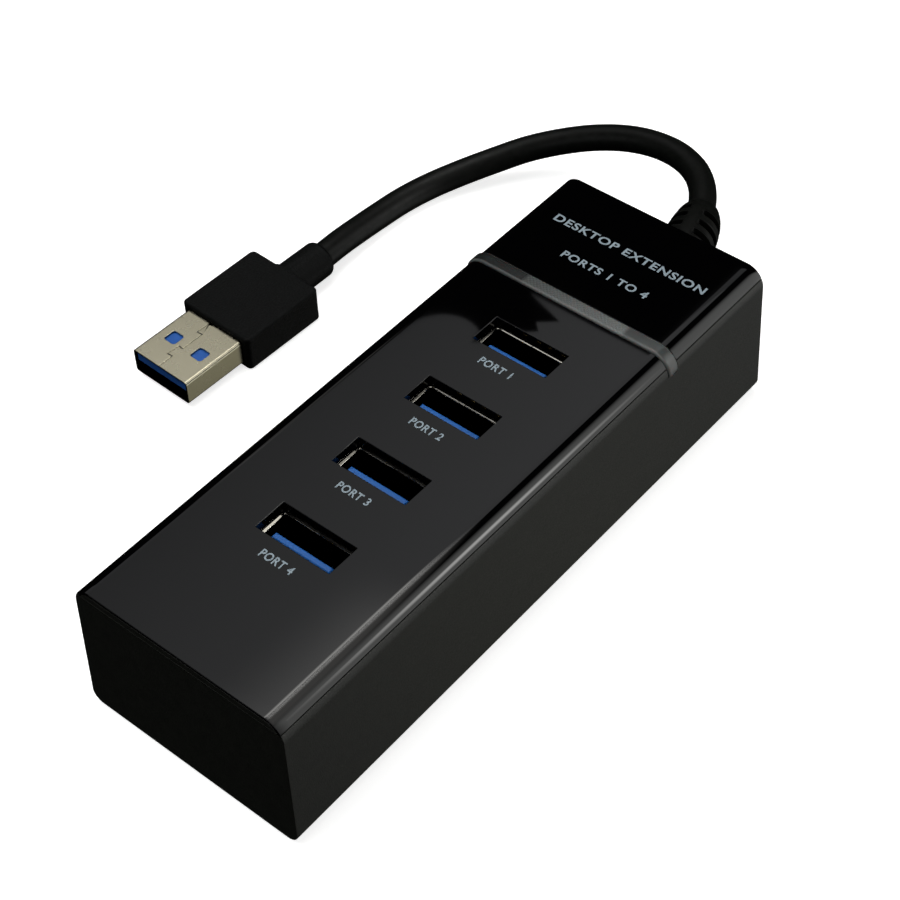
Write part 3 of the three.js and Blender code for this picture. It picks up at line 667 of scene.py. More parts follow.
def tinned():
    return plain("tinned", (0.6, 0.61, 0.62), 0.3, 1.0, rough=(0.8, 4, 0.22, 0.42))


def led_white():
    return plain("led_white", (0.75, 0.8, 0.83), 0.35, tint=(0.6, 2, (0.7, 0.75, 0.78), (0.82, 0.86, 0.88)))


WIRE_COLOURS = {
    "wire_red": (0.42, 0.014, 0.012), "wire_white": (0.66, 0.66, 0.62), "wire_green": (0.014, 0.19, 0.035),
    "wire_black": (0.01, 0.01, 0.01), "wire_blue": (0.018, 0.06, 0.38), "wire_yellow": (0.58, 0.35, 0.02),
    "wire_grey": (0.15, 0.15, 0.15), "wire_purple": (0.14, 0.026, 0.25), "wire_orange": (0.56, 0.12, 0.02),
}


def wire_insulation(name, colour):
    finish = Finish(name, colour, 0.45)
    lighter = tuple(channel * 1.25 for channel in colour)
    finish.tint(finish.noise(0.8, 2), colour, lighter)
    finish.rough(finish.noise(0.4, 2), 0.38, 0.52)
    return finish.material


# ------------------------------------------------------------ case

def case_outline(inset, foot):
    """The case's section as (x, z) points, from the left foot over the top to the right foot."""
    centre = (HALF_WIDTH - TOP_RADIUS, CASE_TOP - TOP_RADIUS)
    radius = TOP_RADIUS - inset
    start = math.degrees(math.asin(max(foot - centre[1], 0) / radius))
    right = arc(centre, radius, start, 90, ROUND_STEPS)
    if foot < centre[1]:
        right.insert(0, (centre[0] + radius, foot))
    return [(-x, z) for x, z in right] + right[::-1]


def drafted(mesh):
    """Leans a body's walls out below the parting, as the base's mould does."""
    for vertex in mesh.vertices:
        lean = DRAFT * max(0, (PARTING - vertex.co.z) / (PARTING - CASE_BOTTOM))
        vertex.co.x *= 1 + lean / HALF_WIDTH
        vertex.co.y *= 1 + lean / HALF_LENGTH
    return mesh


def quarters(node_prefix):
    """The centres (x, y) of the four nodes with that prefix."""
    centres = []
    for index in range(1, 5):
        low, high = span(f"{node_prefix}_{index}")
        centres.append(((low.x + high.x) / 2, (low.y + high.y) / 2))
    return centres


def port_centre(index):
    low, high = span(f"receptacle_shell_{index}")
    return (low.y + high.y) / 2


def bar_arch(outer_inset, inner_inset, foot, y0, y1):
    outline = case_outline(outer_inset, foot) + case_outline(inner_inset, foot)[::-1]
    return prism(outline, y0, y1, "y")


def bar_leg(clearance, foot):
    half = BAR_LEG["thickness"] / 2 + clearance
    middle = (BAR_LOW.y + BAR_HIGH.y) / 2
    top = CASE_TOP - BAR_SINK + 0.3
    low, high = BAR_LEG["bottom"] + clearance, BAR_LEG["top"] + clearance
    return prism([(-low, foot), (low, foot), (high, top), (-high, top)], middle - half, middle + half, "y")


def bar_groove():
    reach = BAR_CLEARANCE
    return bar_arch(-1, BAR_SINK + reach, BAR_LOW_SIDE - reach, BAR_LOW.y - reach, BAR_HIGH.y + reach)


def cover_skin():
    """The gloss lid: full thickness between the end walls and a thin lip over each of them."""
    half_x, half_y = PORT_OPENING[0] / 2, PORT_OPENING[1] / 2

    def outline(inset):
        points = case_outline(inset, PARTING)
        middle = len(points) // 2
        flat = [(x, CASE_TOP - inset) for x in (-half_x, half_x)]
        return points[:middle] + flat + points[middle:]

    outer, lip = outline(0), outline(END_LIP)
    underside = [(x, PARTING) for x, _ in lip]
    inside_end = HALF_LENGTH - WALL - SEAM
    openings = [(port_centre(index) - half_y, port_centre(index) + half_y) for index in PORTS]
    stations = [(-HALF_LENGTH, lip), (-inside_end, lip)]
    stations += [(y, underside) for y in sorted([-inside_end, inside_end, *sum(openings, ())])]
    stations += [(inside_end, lip), (HALF_LENGTH, lip)]

    count = len(outer)
    left = next(i for i, (x, _) in enumerate(outer) if x == -half_x)
    vertices, faces = [], []
    for y, inner in stations:
        vertices += [(x, y, z) for x, z in outer] + [(x, y, z) for x, z in inner]
    for row, ((y0, _), (y1, _)) in enumerate(zip(stations, stations[1:])):
        here, there = row * 2 * count, (row + 1) * 2 * count
        opening = any(low <= (y0 + y1) / 2 <= high for low, high in openings)
        for column in range(count - 1):
            if opening and column == left:
                for side in (column, column + 1):
                    faces.append((here + side, there + side, there + count + side, here + count + side))
                continue
            for layer in (0, count):
                a, b = here + layer + column, there + layer + column
                faces.append((a, a + 1, b + 1, b))
        for edge in (0, count - 1):
            faces.append((here + edge, there + edge, there + count + edge, here + count + edge))
        if opening:
            for start in (here, there):
                faces.append((start + left, start + left + 1, start + count + left + 1, start + count + left))
    for start in (0, (len(stations) - 1) * 2 * count):
        for i in range(start, start + count - 1):
            faces.append((i, i + 1, count + i + 1, count + i))
    return mesh_from(vertices, faces)


def top_cover(material):
    top, wall = PARTING + MERGE, COVER_RIM["wall"]
    rim_x = HALF_WIDTH - WALL - COVER_RIM["gap"]
    rim_y = HALF_LENGTH - WALL - COVER_RIM["gap"]
    rim_z = (PARTING - COVER_RIM["depth"], top)
    rim = cut(
        box((-rim_x, rim_x), (-rim_y, rim_y), rim_z),
        box((wall - rim_x, rim_x - wall), (wall - rim_y, rim_y - wall), (rim_z[0] - 1, rim_z[1] + 1)),
    )
    collars = []
    for index in PORTS:
        at = (0, port_centre(index))
        width, depth = (inner + 2 * COLLAR_WALL for inner in COLLAR_INNER)
        block = prism(centred(width, depth, 0.5, at), PARTING - COLLAR_DEPTH, top)
        bore = prism(centred(*COLLAR_INNER, 0.3, at), PARTING - COLLAR_DEPTH - 1, PARTING)
        throat = prism(centred(*PORT_OPENING, 0.05, at), PARTING - 1, CASE_TOP)
        collars.append(cut(block, bore, throat))
    foot = COVER_LOW.z
    columns = [
        cut(cylinder(SCREW_COLUMN, foot, top, at), cylinder(SCREW_PILOT, foot - 1, foot + PILOT_DEPTH, at))
        for at in quarters("case_screw")
    ]
    skin, inner = (
        cut(part, bar_groove(), bar_leg(BAR_CLEARANCE, PARTING - 4)) for part in (cover_skin(), rim)
    )
    cover = union(skin, inner, *collars, *columns)
    add_piece("cover", cover, material, ["top_cover"], edge=0.09, segments=3)


def base_case(material):
    side = HALF_WIDTH - BOTTOM_RADIUS
    floor_arc = arc((side, CASE_BOTTOM + BOTTOM_RADIUS), BOTTOM_RADIUS, -90, 0, 10)
    top = PARTING - SEAM
    lift = math.degrees(math.asin((top - CASE_TOP + TOP_RADIUS) / TOP_RADIUS))
    shoulder = arc((HALF_WIDTH - TOP_RADIUS, CASE_TOP - TOP_RADIUS), TOP_RADIUS, 0, lift, 6)
    right = floor_arc + shoulder
    outline = right + [(-x, z) for x, z in right[::-1]]
    body = prism(outline, -HALF_LENGTH, HALF_LENGTH, "y")

    def end_edge(edge):
        (y0, z0), (y1, z1) = ((vertex.co.y, vertex.co.z) for vertex in edge.verts)
        ends = all(abs(abs(y) - HALF_LENGTH) < CLOSE for y in (y0, y1))
        return ends and y0 * y1 > 0 and min(z0, z1) < top - 0.01

    drafted(rounded_edges(body, end_edge, END_RADIUS, 4))
    inner_x, inner_y = HALF_WIDTH - WALL, HALF_LENGTH - WALL
    end_walls = [
        prism(case_outline(END_LIP + SEAM, top - 3), low, high, "y")
        for low, high in ((-HALF_LENGTH + 0.02, -inner_y), (inner_y, HALF_LENGTH - 0.02))
    ]
    floor = CASE_BOTTOM + WALL
    cavity = box((-inner_x, inner_x), (-inner_y, inner_y), (floor, CASE_TOP))
    posts = [cylinder(BOARD_POST, floor - 0.5, BOARD_UNDERSIDE - 0.1, at, 32) for at in BOARD_POSTS]
    screws, feet = quarters("case_screw"), quarters("rubber_foot")
    bosses = [cylinder(SCREW_BOSS, floor - 0.5, COVER_LOW.z - 0.2, at) for at in screws]
    seat = CASE_BOTTOM + SCREW_SEAT
    holes = [cylinder(SCREW_BORE, 0, seat, at) for at in screws]
    holes += [cylinder(SCREW_HOLE, seat - 1, COVER_LOW.z + 1, at, 32) for at in screws]
    pockets = [cylinder(FOOT_POCKET, 0, CASE_BOTTOM + FOOT_POCKET_DEPTH, at, 64) for at in feet]
    axis_z = CABLE_ROUTE[0][2] / MM
    outside = HALF_LENGTH + DRAFT + 1
    lead_hole = rod(LEAD_HOLE, inner_y - 1, outside, at=(0, 0, axis_z))
    case = cut(union(body, *end_walls), cavity)
    case = union(case, *posts, *bosses)
    case = cut(case, *holes, *pockets, lead_hole, bar_groove())
    add_piece("base", case, material, ["base_case"], edge=0.1)


def light_bar(material):
    """One clear moulding: the arch across the cover and the leg that takes the light up from the board."""
    arch = bar_arch(-BAR_PROUD, BAR_SINK, BAR_LOW_SIDE, BAR_LOW.y, BAR_HIGH.y)

    def outer_edge(edge):
        follows_arch = abs(edge.verts[0].co.y - edge.verts[1].co.y) < CLOSE
        return follows_arch and all(outside_of_case(vertex.co) for vertex in edge.verts)

    rounded_edges(arch, outer_edge, 0.35, 5)
    bar = union(arch, bar_leg(0, BAR_LOW.z))
    add_piece("bar", bar, material, ["light_bar"], edge=0.06)


def outside_of_case(point):
    """True where a point stands proud of the case's rounded section."""
    x, z = abs(point.x), point.z
    centre_x, centre_z = HALF_WIDTH - TOP_RADIUS, CASE_TOP - TOP_RADIUS
    if x <= centre_x:
        return z > CASE_TOP + 0.1
    if z <= centre_z:
        return x > HALF_WIDTH + 0.1
    return math.hypot(x - centre_x, z - centre_z) > TOP_RADIUS + 0.1


# ------------------------------------------------------------ sockets

def socket_shell(index, material):
    """A folded sleeve with a coined mouth, a butt seam on its far side and a leaf spring at each window."""
    low, high = span(f"receptacle_shell_{index}")
    middle = port_centre(index)
    foot = BOARD_TOP + 0.1
    width, depth = high.x - low.x, high.y - low.y
    sleeve = coined_sleeve(width, depth, foot, high.z)
    side = depth / 2
    seam = box((-0.06, 0.06), (side - 1, side + 1), (foot + 4, high.z + 1))
    windows = [
        box((x - 0.95, x + 0.95), (sign * side - 0.6, sign * side + 0.6), (high.z - 10.2, high.z - 4.6))
        for x, sign in SPRINGS
    ]
    sleeve = cut(sleeve, seam, *windows)
    springs = [leaf_spring(x, sign, side, high.z) for x, sign in SPRINGS]
    legs = []
    for sign in (-1, 1):
        reach = sorted((sign * (width / 2), sign * (width / 2 - SOCKET_SHEET)))
        legs.append(box(reach, (-1, 1), (low.z, foot + 0.5)))
    shell = shifted(union(sleeve, *springs, *legs), y=middle)
    replaced = [f"receptacle_shell_{index}"]
    add_piece(f"socket_shell_{index}", shell, material, replaced, edge=0.03)


def coined_sleeve(width, depth, low, high):
    """The sleeve's walls, with the rim pressed down on its inner side so that the mouth leads a plug in."""
    outer = centred(width, depth, SOCKET_CORNER)
    inner = centred(width - 2 * SOCKET_SHEET, depth - 2 * SOCKET_SHEET, SOCKET_CORNER - SOCKET_SHEET)
    vertices = [(x, y, z) for z in (low, high) for x, y in outer]
    for x, y in inner:
        slope = MOUTH_SLOPE["near" if y < 0 else "far"]
        vertices.append((x, y, high - SOCKET_SHEET * math.tan(slope)))
    vertices += [(x, y, low) for x, y in inner]
    count = len(outer)
    faces = []
    for row in range(4):
        here, there = row * count, (row + 1) % 4 * count
        for i in range(count):
            j = (i + 1) % count
            faces.append((here + i, here + j, there + j, there + i))
    return mesh_from(vertices, faces)


def leaf_spring(x, sign, side, top):
    """A tongue of the sheet, bent inwards, that presses on a plug's shell."""
    heights = (top - 10.4, top - 9, top - 7.2, top - 6.2, top - 5.2, top - 4.9)
    inwards = (0, 0.02, 0.42, 0.5, 0.3, 0.05)
    outside = [(sign * (side - depth), z) for z, depth in zip(heights, inwards)]
    inside = [(sign * (side - depth - 0.24), z) for z, depth in zip(heights, inwards)]
    return prism(outside + inside[::-1], x - 0.75, x + 0.75, "x")


def tapered(block, tip):
    """A block drawn up to a smaller flat tip, so that it enters a plug easily."""
    inward = TONGUE_TAPER["inward"]
    top = max(vertex.co.z for vertex in block.vertices)
    middle = sum(vertex.co.y for vertex in block.vertices) / len(block.vertices)
    with edited(block) as work:
        cap = [face for face in work.faces if all(abs(vertex.co.z - top) < CLOSE for vertex in face.verts)]
        grown = bmesh.ops.extrude_face_region(work, geom=cap)
        for vertex in (item for item in grown["geom"] if isinstance(item, bmesh.types.BMVert)):
            vertex.co.x -= math.copysign(inward, vertex.co.x)
            vertex.co.y -= math.copysign(inward, vertex.co.y - middle)
            vertex.co.z = tip
        bmesh.ops.delete(work, geom=cap, context="FACES")
    return block


def socket_insulator(index, material):
    """The blue core: a block, and a tongue with a tapered tip and a groove under each contact."""
    low, high = span(f"receptacle_insulator_{index}")
    far_face, near_face, half = TONGUE_FACES["far"], TONGUE_FACES["near"], TONGUE_FACES["half_width"]
    block_top, tip = low.z + 4.3, high.z
    middle = port_centre(index)
    block = box((low.x, high.x), (low.y - middle, high.y - middle), (low.z, block_top))
    stem = box((-half, half), (near_face, far_face), (block_top - 0.5, tip - TONGUE_TAPER["rise"]))
    tongue = tapered(stem, tip)
    grooves = [
        box((x - 0.58, x + 0.58), (far_face - 0.16, far_face + 1), (block_top - 0.3, tip - 1.6))
        for x in CONTACT_X
    ]
    ledges = [
        box((x - 0.4, x + 0.4), (far_face - 0.3, far_face + 1), (tip - 1.5, tip - 1.1))
        for x in SHORT_CONTACT_X
    ]
    core = cut(union(block, tongue), *grooves, *ledges)
    core = shifted(core, y=middle)
    replaced = [f"receptacle_insulator_{index}"]
    add_piece(f"socket_core_{index}", core, material, replaced, edge=0.1)


def socket_contacts(index, material):
    """Four long contacts that lie in the tongue's grooves, and five short ones near its tip."""
    low, high = span(f"receptacle_contacts_{index}")
    middle = port_centre(index)
    face = low.y - middle - 0.12
    parts = []
    for x in CONTACT_X:
        heights = (low.z, high.z - 3.4, high.z - 2.2, high.z - 1.2, high.z - 0.3)
        rise = (0, 0, 0.32, 0.36, 0.02)
        front = [(face + 0.2 + lift, z) for z, lift in zip(heights, rise)]
        back = [(face + lift, z) for z, lift in zip(heights, rise)]
        parts.append(prism(front + back[::-1], x - 0.42, x + 0.42, "x"))
    for x in SHORT_CONTACT_X:
        parts.append(box((x - 0.3, x + 0.3), (face - 0.1, face + 0.16), (high.z - 0.06, high.z + 0.26)))
    parts.append(box((-4, 4), (face + 0.02, face + 0.18), (low.z, low.z + 0.5)))
    contacts = shifted(joined(parts), y=middle)
    replaced = [f"receptacle_contacts_{index}"]
    add_piece(f"socket_contacts_{index}", contacts, material, replaced, edge=0.03)


# ------------------------------------------------------------ lead

def cable(material):
    """The lead as a curve of one open spline, of its real length and diameter."""
    curve = bpy.data.curves.new("lead", "CURVE")
    curve.dimensions = "3D"
    curve.bevel_depth = CABLE_DIAMETER / 2
    curve.bevel_resolution = 10
    curve.use_fill_caps = True
    spline = curve.splines.new("POLY")
    spline.points.add(len(ROUTE) - 1)
    for point, place in zip(spline.points, ROUTE):
        point.co = (*place, 1)
    spline.use_smooth = True
    lead = new_object("lead", curve)
    curve.materials.append(material)
    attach(lead, "root")
    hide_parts("cable")
    return lead


def relief_radius(along):
    """The sleeve's outer radius at a share of its length: a slow taper that rolls over at the tip."""
    return 4.65 - 0.8 * along ** 1.6 - 1.05 * along ** 8


def strain_relief(material):
    """The slotted rubber sleeve, made straight and then bent with the lead."""
    inside = HALF_LENGTH - WALL - 0.3
    radius, edge = FLANGE["radius"], FLANGE["edge"]
    start = inside - FLANGE["thickness"]
    flange = [(0, start), (radius - edge, start), (radius, start + edge), (radius, inside - edge)]
    root = relief_radius(0)
    neck = [(radius - edge, inside), (FLANGE["neck"], inside), (FLANGE["neck"], RELIEF_START)]
    shoulder = [(root - 0.15, RELIEF_START), (root, RELIEF_START + 0.15)]
    shares = [ring / RELIEF_RINGS for ring in range(1, RELIEF_RINGS + 1)]
    taper = [(relief_radius(along), RELIEF_START + along * RELIEF_LENGTH) for along in shares]
    tip = RELIEF_START + RELIEF_LENGTH
    sleeve = lathe([*flange, *neck, *shoulder, *taper, (CABLE_BORE, tip + 0.02), (0, tip + 0.02)], 64, "y")
    slots = []
    for side in (-1, 1):
        for index in range(RELIEF_SLOT["count"]):
            stagger = RELIEF_SLOT["pitch"] / 2 if side < 0 else 0
            y = RELIEF_START + RELIEF_SLOT["first"] + stagger + index * RELIEF_SLOT["pitch"]
            half = RELIEF_SLOT["width"] / 2
            reach = sorted((side * RELIEF_SLOT["from_axis"], side * 8))
            core = RELIEF_SLOT["core"]
            pocket = rod(core, y - 1, y + 1, segments=48)
            slots.append(cut(prism(rounded(*reach, y - half, y + half, 0.2, steps=3), -8, 8), pocket))
    bore = rod(CABLE_BORE, inside - 4, tip + 1)
    sleeve = bend_along_route(cut(sleeve, joined(slots), bore))
    return add_piece("relief", sleeve, material, ["strain_relief"], edge=0.12, angle=50)


# ------------------------------------------------------------ plug

def plug_grip(material):
    """The overmould: a flat block with rounded rear corners, and the round boss that grips the lead."""
    half = GRIP["z"] / 2
    plan = rounded(-GRIP["x"] / 2, GRIP["x"] / 2, 0, GRIP["y"], GRIP["front"], GRIP["rear"], steps=10)
    block = prism(plan, -half, half)

    def rim(edge):
        return abs(edge.verts[0].co.z - edge.verts[1].co.z) < CLOSE

    rounded_edges(block, rim, 0.45, 5)
    rear, tip = GRIP["y"], GRIP["y"] + BOSS["length"]
    radius, roll = BOSS["radius"], BOSS["edge"]
    shoulder = arc((radius - roll, tip - roll), roll, 0, 90, 9)
    boss = lathe([(0, rear - 1), (radius + 0.04, rear - 1), *shoulder, (0, tip)], 64, "y")
    collar = [
        (0, rear - 1), (radius + 0.5, rear - 1), (radius + 0.5, rear), (radius + 0.22, rear + 0.12),
        (radius, rear + 0.45), (0, rear + 0.45),
    ]
    above, below = (box((-9, 9), (-1, 40), reach) for reach in ((half - 0.02, 9), (-9, -half + 0.02)))
    collar = cut(lathe(collar, 64, "y"), above, below)
    pocket = prism(centred(PLUG_POCKET["x"], PLUG_POCKET["z"], 0.4), -1, PLUG_POCKET["depth"], "y")
    bore = rod(CABLE_BORE, tip - 3, tip + 1, segments=48)
    grip = cut(union(block, collar, boss), pocket, bore)
    return add_piece("plug_grip", moved(grip, PLUG_PLACE), material, ["plug_overmold"])


def seam_outline(gap):
    """The zig-zag seam down the middle of the shell's upper side, as an outline round its centre line."""
    line = [
        (-0.15, -PLUG_SHELL["exposed"] - 1), (-0.15, -9.0), (-1.15, -9.15), (-1.0, -6.75),
        (-0.1, -6.9), (-0.05, -2.65), (-1.1, -2.8), (-1.0, 0.4),
    ]
    left, right = [], []
    for index, (x, y) in enumerate(line):
        before = Vector(line[max(index - 1, 0)])
        after = Vector(line[min(index + 1, len(line) - 1)])
        here = Vector((x, y))
        into = (here - before).normalized() if index else (after - here).normalized()
        out = (after - here).normalized() if index < len(line) - 1 else into
        across = Vector((into.y, -into.x)) + Vector((out.y, -out.x))
        reach = across * (gap / across.length_squared)
        left.append(tuple(here - reach))
        right.append(tuple(here + reach))
    return left + right[::-1]


def plug_shell(material):
    """The plug's folded steel sleeve, with its two detent windows on each face and the seam on top."""
    width, height = PLUG_SHELL["x"], PLUG_SHELL["z"]
    sheet, corner = PLUG_SHELL["sheet"], PLUG_SHELL["corner"]
    tip, rear = -PLUG_SHELL["exposed"], PLUG_SHELL["embedded"]
    outer = prism(centred(width, height, corner, steps=8), tip, rear, "y")
    hollow = centred(width - 2 * sheet, height - 2 * sheet, corner - sheet + 0.05, steps=8)
    inner = prism(hollow, tip - 1, rear + 1, "y")
    size, middle = PLUG_WINDOW["size"], tip + PLUG_WINDOW["from_tip"]
    windows = [
        prism(centred(size, size, 0.45, (side * PLUG_WINDOW["x"], middle)), low, low + 3)
        for side in (-1, 1) for low in (-3.5, 0.5)
    ]
    seam = prism(seam_outline(0.09), 1, 4)
    notch = prism(centred(0.7, 0.5, 0.1, (-0.6, -0.15)), 2.05, 4)
    shell = cut(cut(outer, inner), *windows, seam, notch)
    shell = moved(shell, PLUG_PLACE)
    return add_piece("plug_sleeve", shell, material, ["plug_shell"], edge=0.06)


def plug_insulator(material):
    ceiling = PLUG_SHELL["z"] / 2 - PLUG_SHELL["sheet"] - 0.1
    half = PLUG_TONGUE["x"] / 2
    tip, rear = PLUG_TONGUE["setback"] - PLUG_SHELL["exposed"], PLUG_SHELL["embedded"]
    tongue = box((-half, half), (tip, rear), (ceiling - PLUG_TONGUE["z"], ceiling))
    block = box((-half, half), (0.1, rear), (-ceiling, ceiling))
    grooves = [
        box((x - 0.6, x + 0.6), (tip + 0.8, 0.1), (-4, ceiling - PLUG_TONGUE["z"] + 0.12)) for x in CONTACT_X
    ]
    core = moved(cut(union(tongue, block), *grooves), PLUG_PLACE)
    return add_piece("plug_core", core, material, ["plug_insulator"], edge=0.1)


def plug_contacts(material):
    """Four flat contacts under the tongue, and the five raised ones behind them."""
    face = PLUG_SHELL["z"] / 2 - PLUG_SHELL["sheet"] - 0.1 - PLUG_TONGUE["z"] + 0.1
    tip = PLUG_TONGUE["setback"] - PLUG_SHELL["exposed"]
    parts = [box((x - 0.5, x + 0.5), (tip + 1, 0), (face - 0.22, face)) for x in CONTACT_X]
    for x in SHORT_CONTACT_X:
        hump = [(-4.6, face), (-3.9, face - 0.55), (-3.2, face - 0.6), (-2.4, face - 0.1)]
        parts.append(prism(hump + [(y, z - 0.18) for y, z in hump[::-1]], x - 0.3, x + 0.3, "x"))
    contacts = moved(joined(parts), PLUG_PLACE)
    return add_piece("plug_pins", contacts, material, ["plug_contacts"], edge=0.03)


# ------------------------------------------------------------ underside

def case_screws(material):
    """Pan-head screws with a cross recess and a ringed shank."""
    low, high = span("case_screw_1")
    head_radius = (high.x - low.x) / 2
    head = [(0, low.z), (head_radius * 0.55, low.z + 0.03), (head_radius * 0.86, low.z + 0.25),
            (head_radius, low.z + 0.7), (head_radius, low.z + 1.4), (1.0, low.z + 1.4)]
    cross = (SCREW_CROSS["reach"], SCREW_CROSS["half"])
    recess = (low.z - 1, low.z + SCREW_CROSS["depth"])
    shank, z = [], low.z + 1.6
    while z < high.z - 0.8:
        shank += [(0.95, z), (1.15, z + 0.3), (1.15, z + 0.4), (0.95, z + 0.7)]
        z += 0.8
    for index, (x, y) in enumerate(quarters("case_screw"), 1):
        screw = lathe(head + shank + [(0.7, high.z - 0.1), (0, high.z)], 40)
        arms = [box((-a, a), (-b, b), recess) for a, b in (cross, cross[::-1])]
        screw = cut(screw, union(*arms))
        screw = shifted(moved(screw, Matrix.Rotation(0.5 * index, 4, "Z")), x, y)
        add_piece(f"screw_{index}", screw, material, [f"case_screw_{index}"], edge=0.05)


def rubber_feet(material):
    low, high = span("rubber_foot_1")
    radius, roll = (high.x - low.x) / 2, 0.45
    edge = arc((radius - roll, low.z + roll), roll, -90, 0, 6)
    profile = [(0, low.z), (radius * 0.6, low.z), *edge, (radius, high.z), (0, high.z)]
    for index, (x, y) in enumerate(quarters("rubber_foot"), 1):
        foot = lathe(profile, 64, at=(x, y, 0))
        add_piece(f"foot_{index}", foot, material, [f"rubber_foot_{index}"])


# ------------------------------------------------------------ print

def printed(name, text, cap_height, centre, length, material):
    """Print of that cap height and length on the cover, as a layer 0.016 mm thick."""
    font = bpy.data.curves.new(name, "FONT")
    font.body = text
    font.align_x = "CENTER"
    font.align_y = "CENTER"
    font.space_character = 1.12
    font.offset = 0.022
    font.extrude = 0.001
    scratch = new_object(name, font)
    mesh = evaluated_mesh(scratch)
    bpy.data.objects.remove(scratch)
    xs, ys = [[vertex.co[axis] for vertex in mesh.vertices] for axis in (0, 1)]
    width, height = max(xs) - min(xs), max(ys) - min(ys)
    mesh.transform(Matrix.Translation((-(max(xs) + min(xs)) / 2, -(max(ys) + min(ys)) / 2, 0)))
    mesh.transform(Matrix.Diagonal((length / width, cap_height / height, 8, 1)))
    mesh.transform(Matrix.Translation((*centre, CASE_TOP + 0.012)))
    add_piece(name, mesh, material)


def cover_print(material):
    printed("caption_1", "DESKTOP EXTENSION", 1.6, (0.4, 43.1), 27.3, material)
    printed("caption_2", "PORTS 1 TO 4", 1.5, (0.3, 37.2), 15.4, material)
    for index in PORTS:
        y = port_centre(index) - PORT_OPENING[1] / 2 - 2.75
        printed(f"port_mark_{index}", f"PORT {index}", 1.4, (-0.15, y), 5.6, material)


# ------------------------------------------------------------ inside

def finish_inner_parts():
    """Gives the CAD nodes that stay inside the case their finishes, and their edges a fine bevel."""
    chip, can, led = chip_black(), tinned(), led_white()
    finishes = {"circuit_board": board_green(), "hub_controller_chip": chip, "voltage_regulator": chip}
    finishes["crystal"] = can
    finishes.update({f"port_capacitor_{index}": can for index in PORTS})
    finishes.update({f"status_led_{index}": led for index in (1, 2)})
    wires = [wire_insulation(name, colour) for name, colour in WIRE_COLOURS.items()]
    finishes.update({f"conductor_{index}": wire for index, wire in enumerate(wires, 1)})
    for node, material in finishes.items():
        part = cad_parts[node]
        part.data.materials.clear()
        part.data.materials.append(material)
        if not node.startswith("conductor"):
            bevel = part.modifiers.new("edges", "BEVEL")
            bevel.width = 0.08 * MM
            bevel.segments = 2


# ------------------------------------------------------------ studio

# The studio's measures are in metres.
COOL, WARM, WHITE = (0.97, 0.98, 1), (1, 0.985, 0.95), (1, 1, 1)
FLOOR_HALF = 6
PANEL = {"height": 0.5, "far": 0.433}

# Each card's place, target, size, strength, colour, and the shares of its width and height that fade out.
CARDS = {
    # shown by the cover's far end and by the plug's top
    "wedge_panel": ((-0.1275, 0.484, 0.5), (-0.1275, 0.484, 0), (0.255, 0.112), 0.4, COOL, (0.1, 0.09)),
    "plug_panel": ((-0.171, 0.095, 0.15), (-0.171, 0.095, 0), (0.08, 0.07), 0.4, (1, 0.99, 0.96), (0.4, 0.4)),
    # above the hub
    "overhead": ((-0.1325, 0.177, 0.6), (-0.1325, 0.177, 0), (0.425, 0.295), 4.9, WARM, (0.842, 0.3)),
    "ceiling": ((0.14, 0.15, 0.6), (0.14, 0.15, 0), (0.6, 0.36), 0.9, WARM, (0.7, 0.5)),
    # to its right, on the long side wall, and before it, for the views from behind
    "right_panel": ((0.5, 0.5, 0.2), (0, 0.5, 0.2), (1.2, 1.9), 1.5, (0.97, 0.98, 0.96), (0.5, 0.84)),
    "right_lamp": ((0.49, 0.29, 0.27), (0, 0.29, 0.27), (0.26, 0.26), 6, (1, 0.99, 0.97), (1, 0.9)),
    "front_panel": ((-0.05, -0.9, 0.45), (-0.05, 0, 0.05), (1.5, 0.7), 0.6, (0.98, 0.99, 1), (0.3, 0.4)),
    # the table's glow on the side of the plug's sleeve, and a soft fill for everything
    "table_glow": ((0.11, 0.13, -0.19), (-0.047, 0, 0), (0.13, 0.13), 0.13, (1, 0.96, 0.6), (0.5, 0.5)),
    "fill": ((-0.2, -0.2, 0.7), (0, 0, 0), (0.6, 0.6), 4, WHITE, (0.3, 0.3)),
}


def stage_object(name, mesh, material):
    item = new_object(name, mesh)
    mesh.materials.append(material)
    return item


def unseen(card):
    """Leaves a card out of the camera's view and casts no shadow with it."""
    card.visible_camera = False
    card.visible_shadow = False
    return card


def plane(half_x, half_y):
    """A flat rectangle about the origin, in metres."""
    mesh = bpy.data.meshes.new("plane")
    corners = [(-half_x, -half_y, 0), (half_x, -half_y, 0), (half_x, half_y, 0), (-half_x, half_y, 0)]
    mesh.from_pydata(corners, [], [(0, 1, 2, 3)])
    return mesh


def pale_floor():
    """A plain white floor that glows a little, as a lit table does, and takes soft shadows."""
    material = bpy.data.materials.new("floor")
    material.use_nodes = True
    shader = material.node_tree.nodes["Principled BSDF"]
    shader.inputs["Base Color"].default_value = (0.8, 0.8, 0.79, 1)
    shader.inputs["Roughness"].default_value = 0.9
    shader.inputs["Specular IOR Level"].default_value = 0.1
    shader.inputs["Emission Color"].default_value = (1, 1, 1, 1)
    shader.inputs["Emission Strength"].default_value = 0.72
    floor = stage_object("floor", plane(FLOOR_HALF, FLOOR_HALF), material)
    floor.visible_glossy = False
    floor.visible_diffuse = False


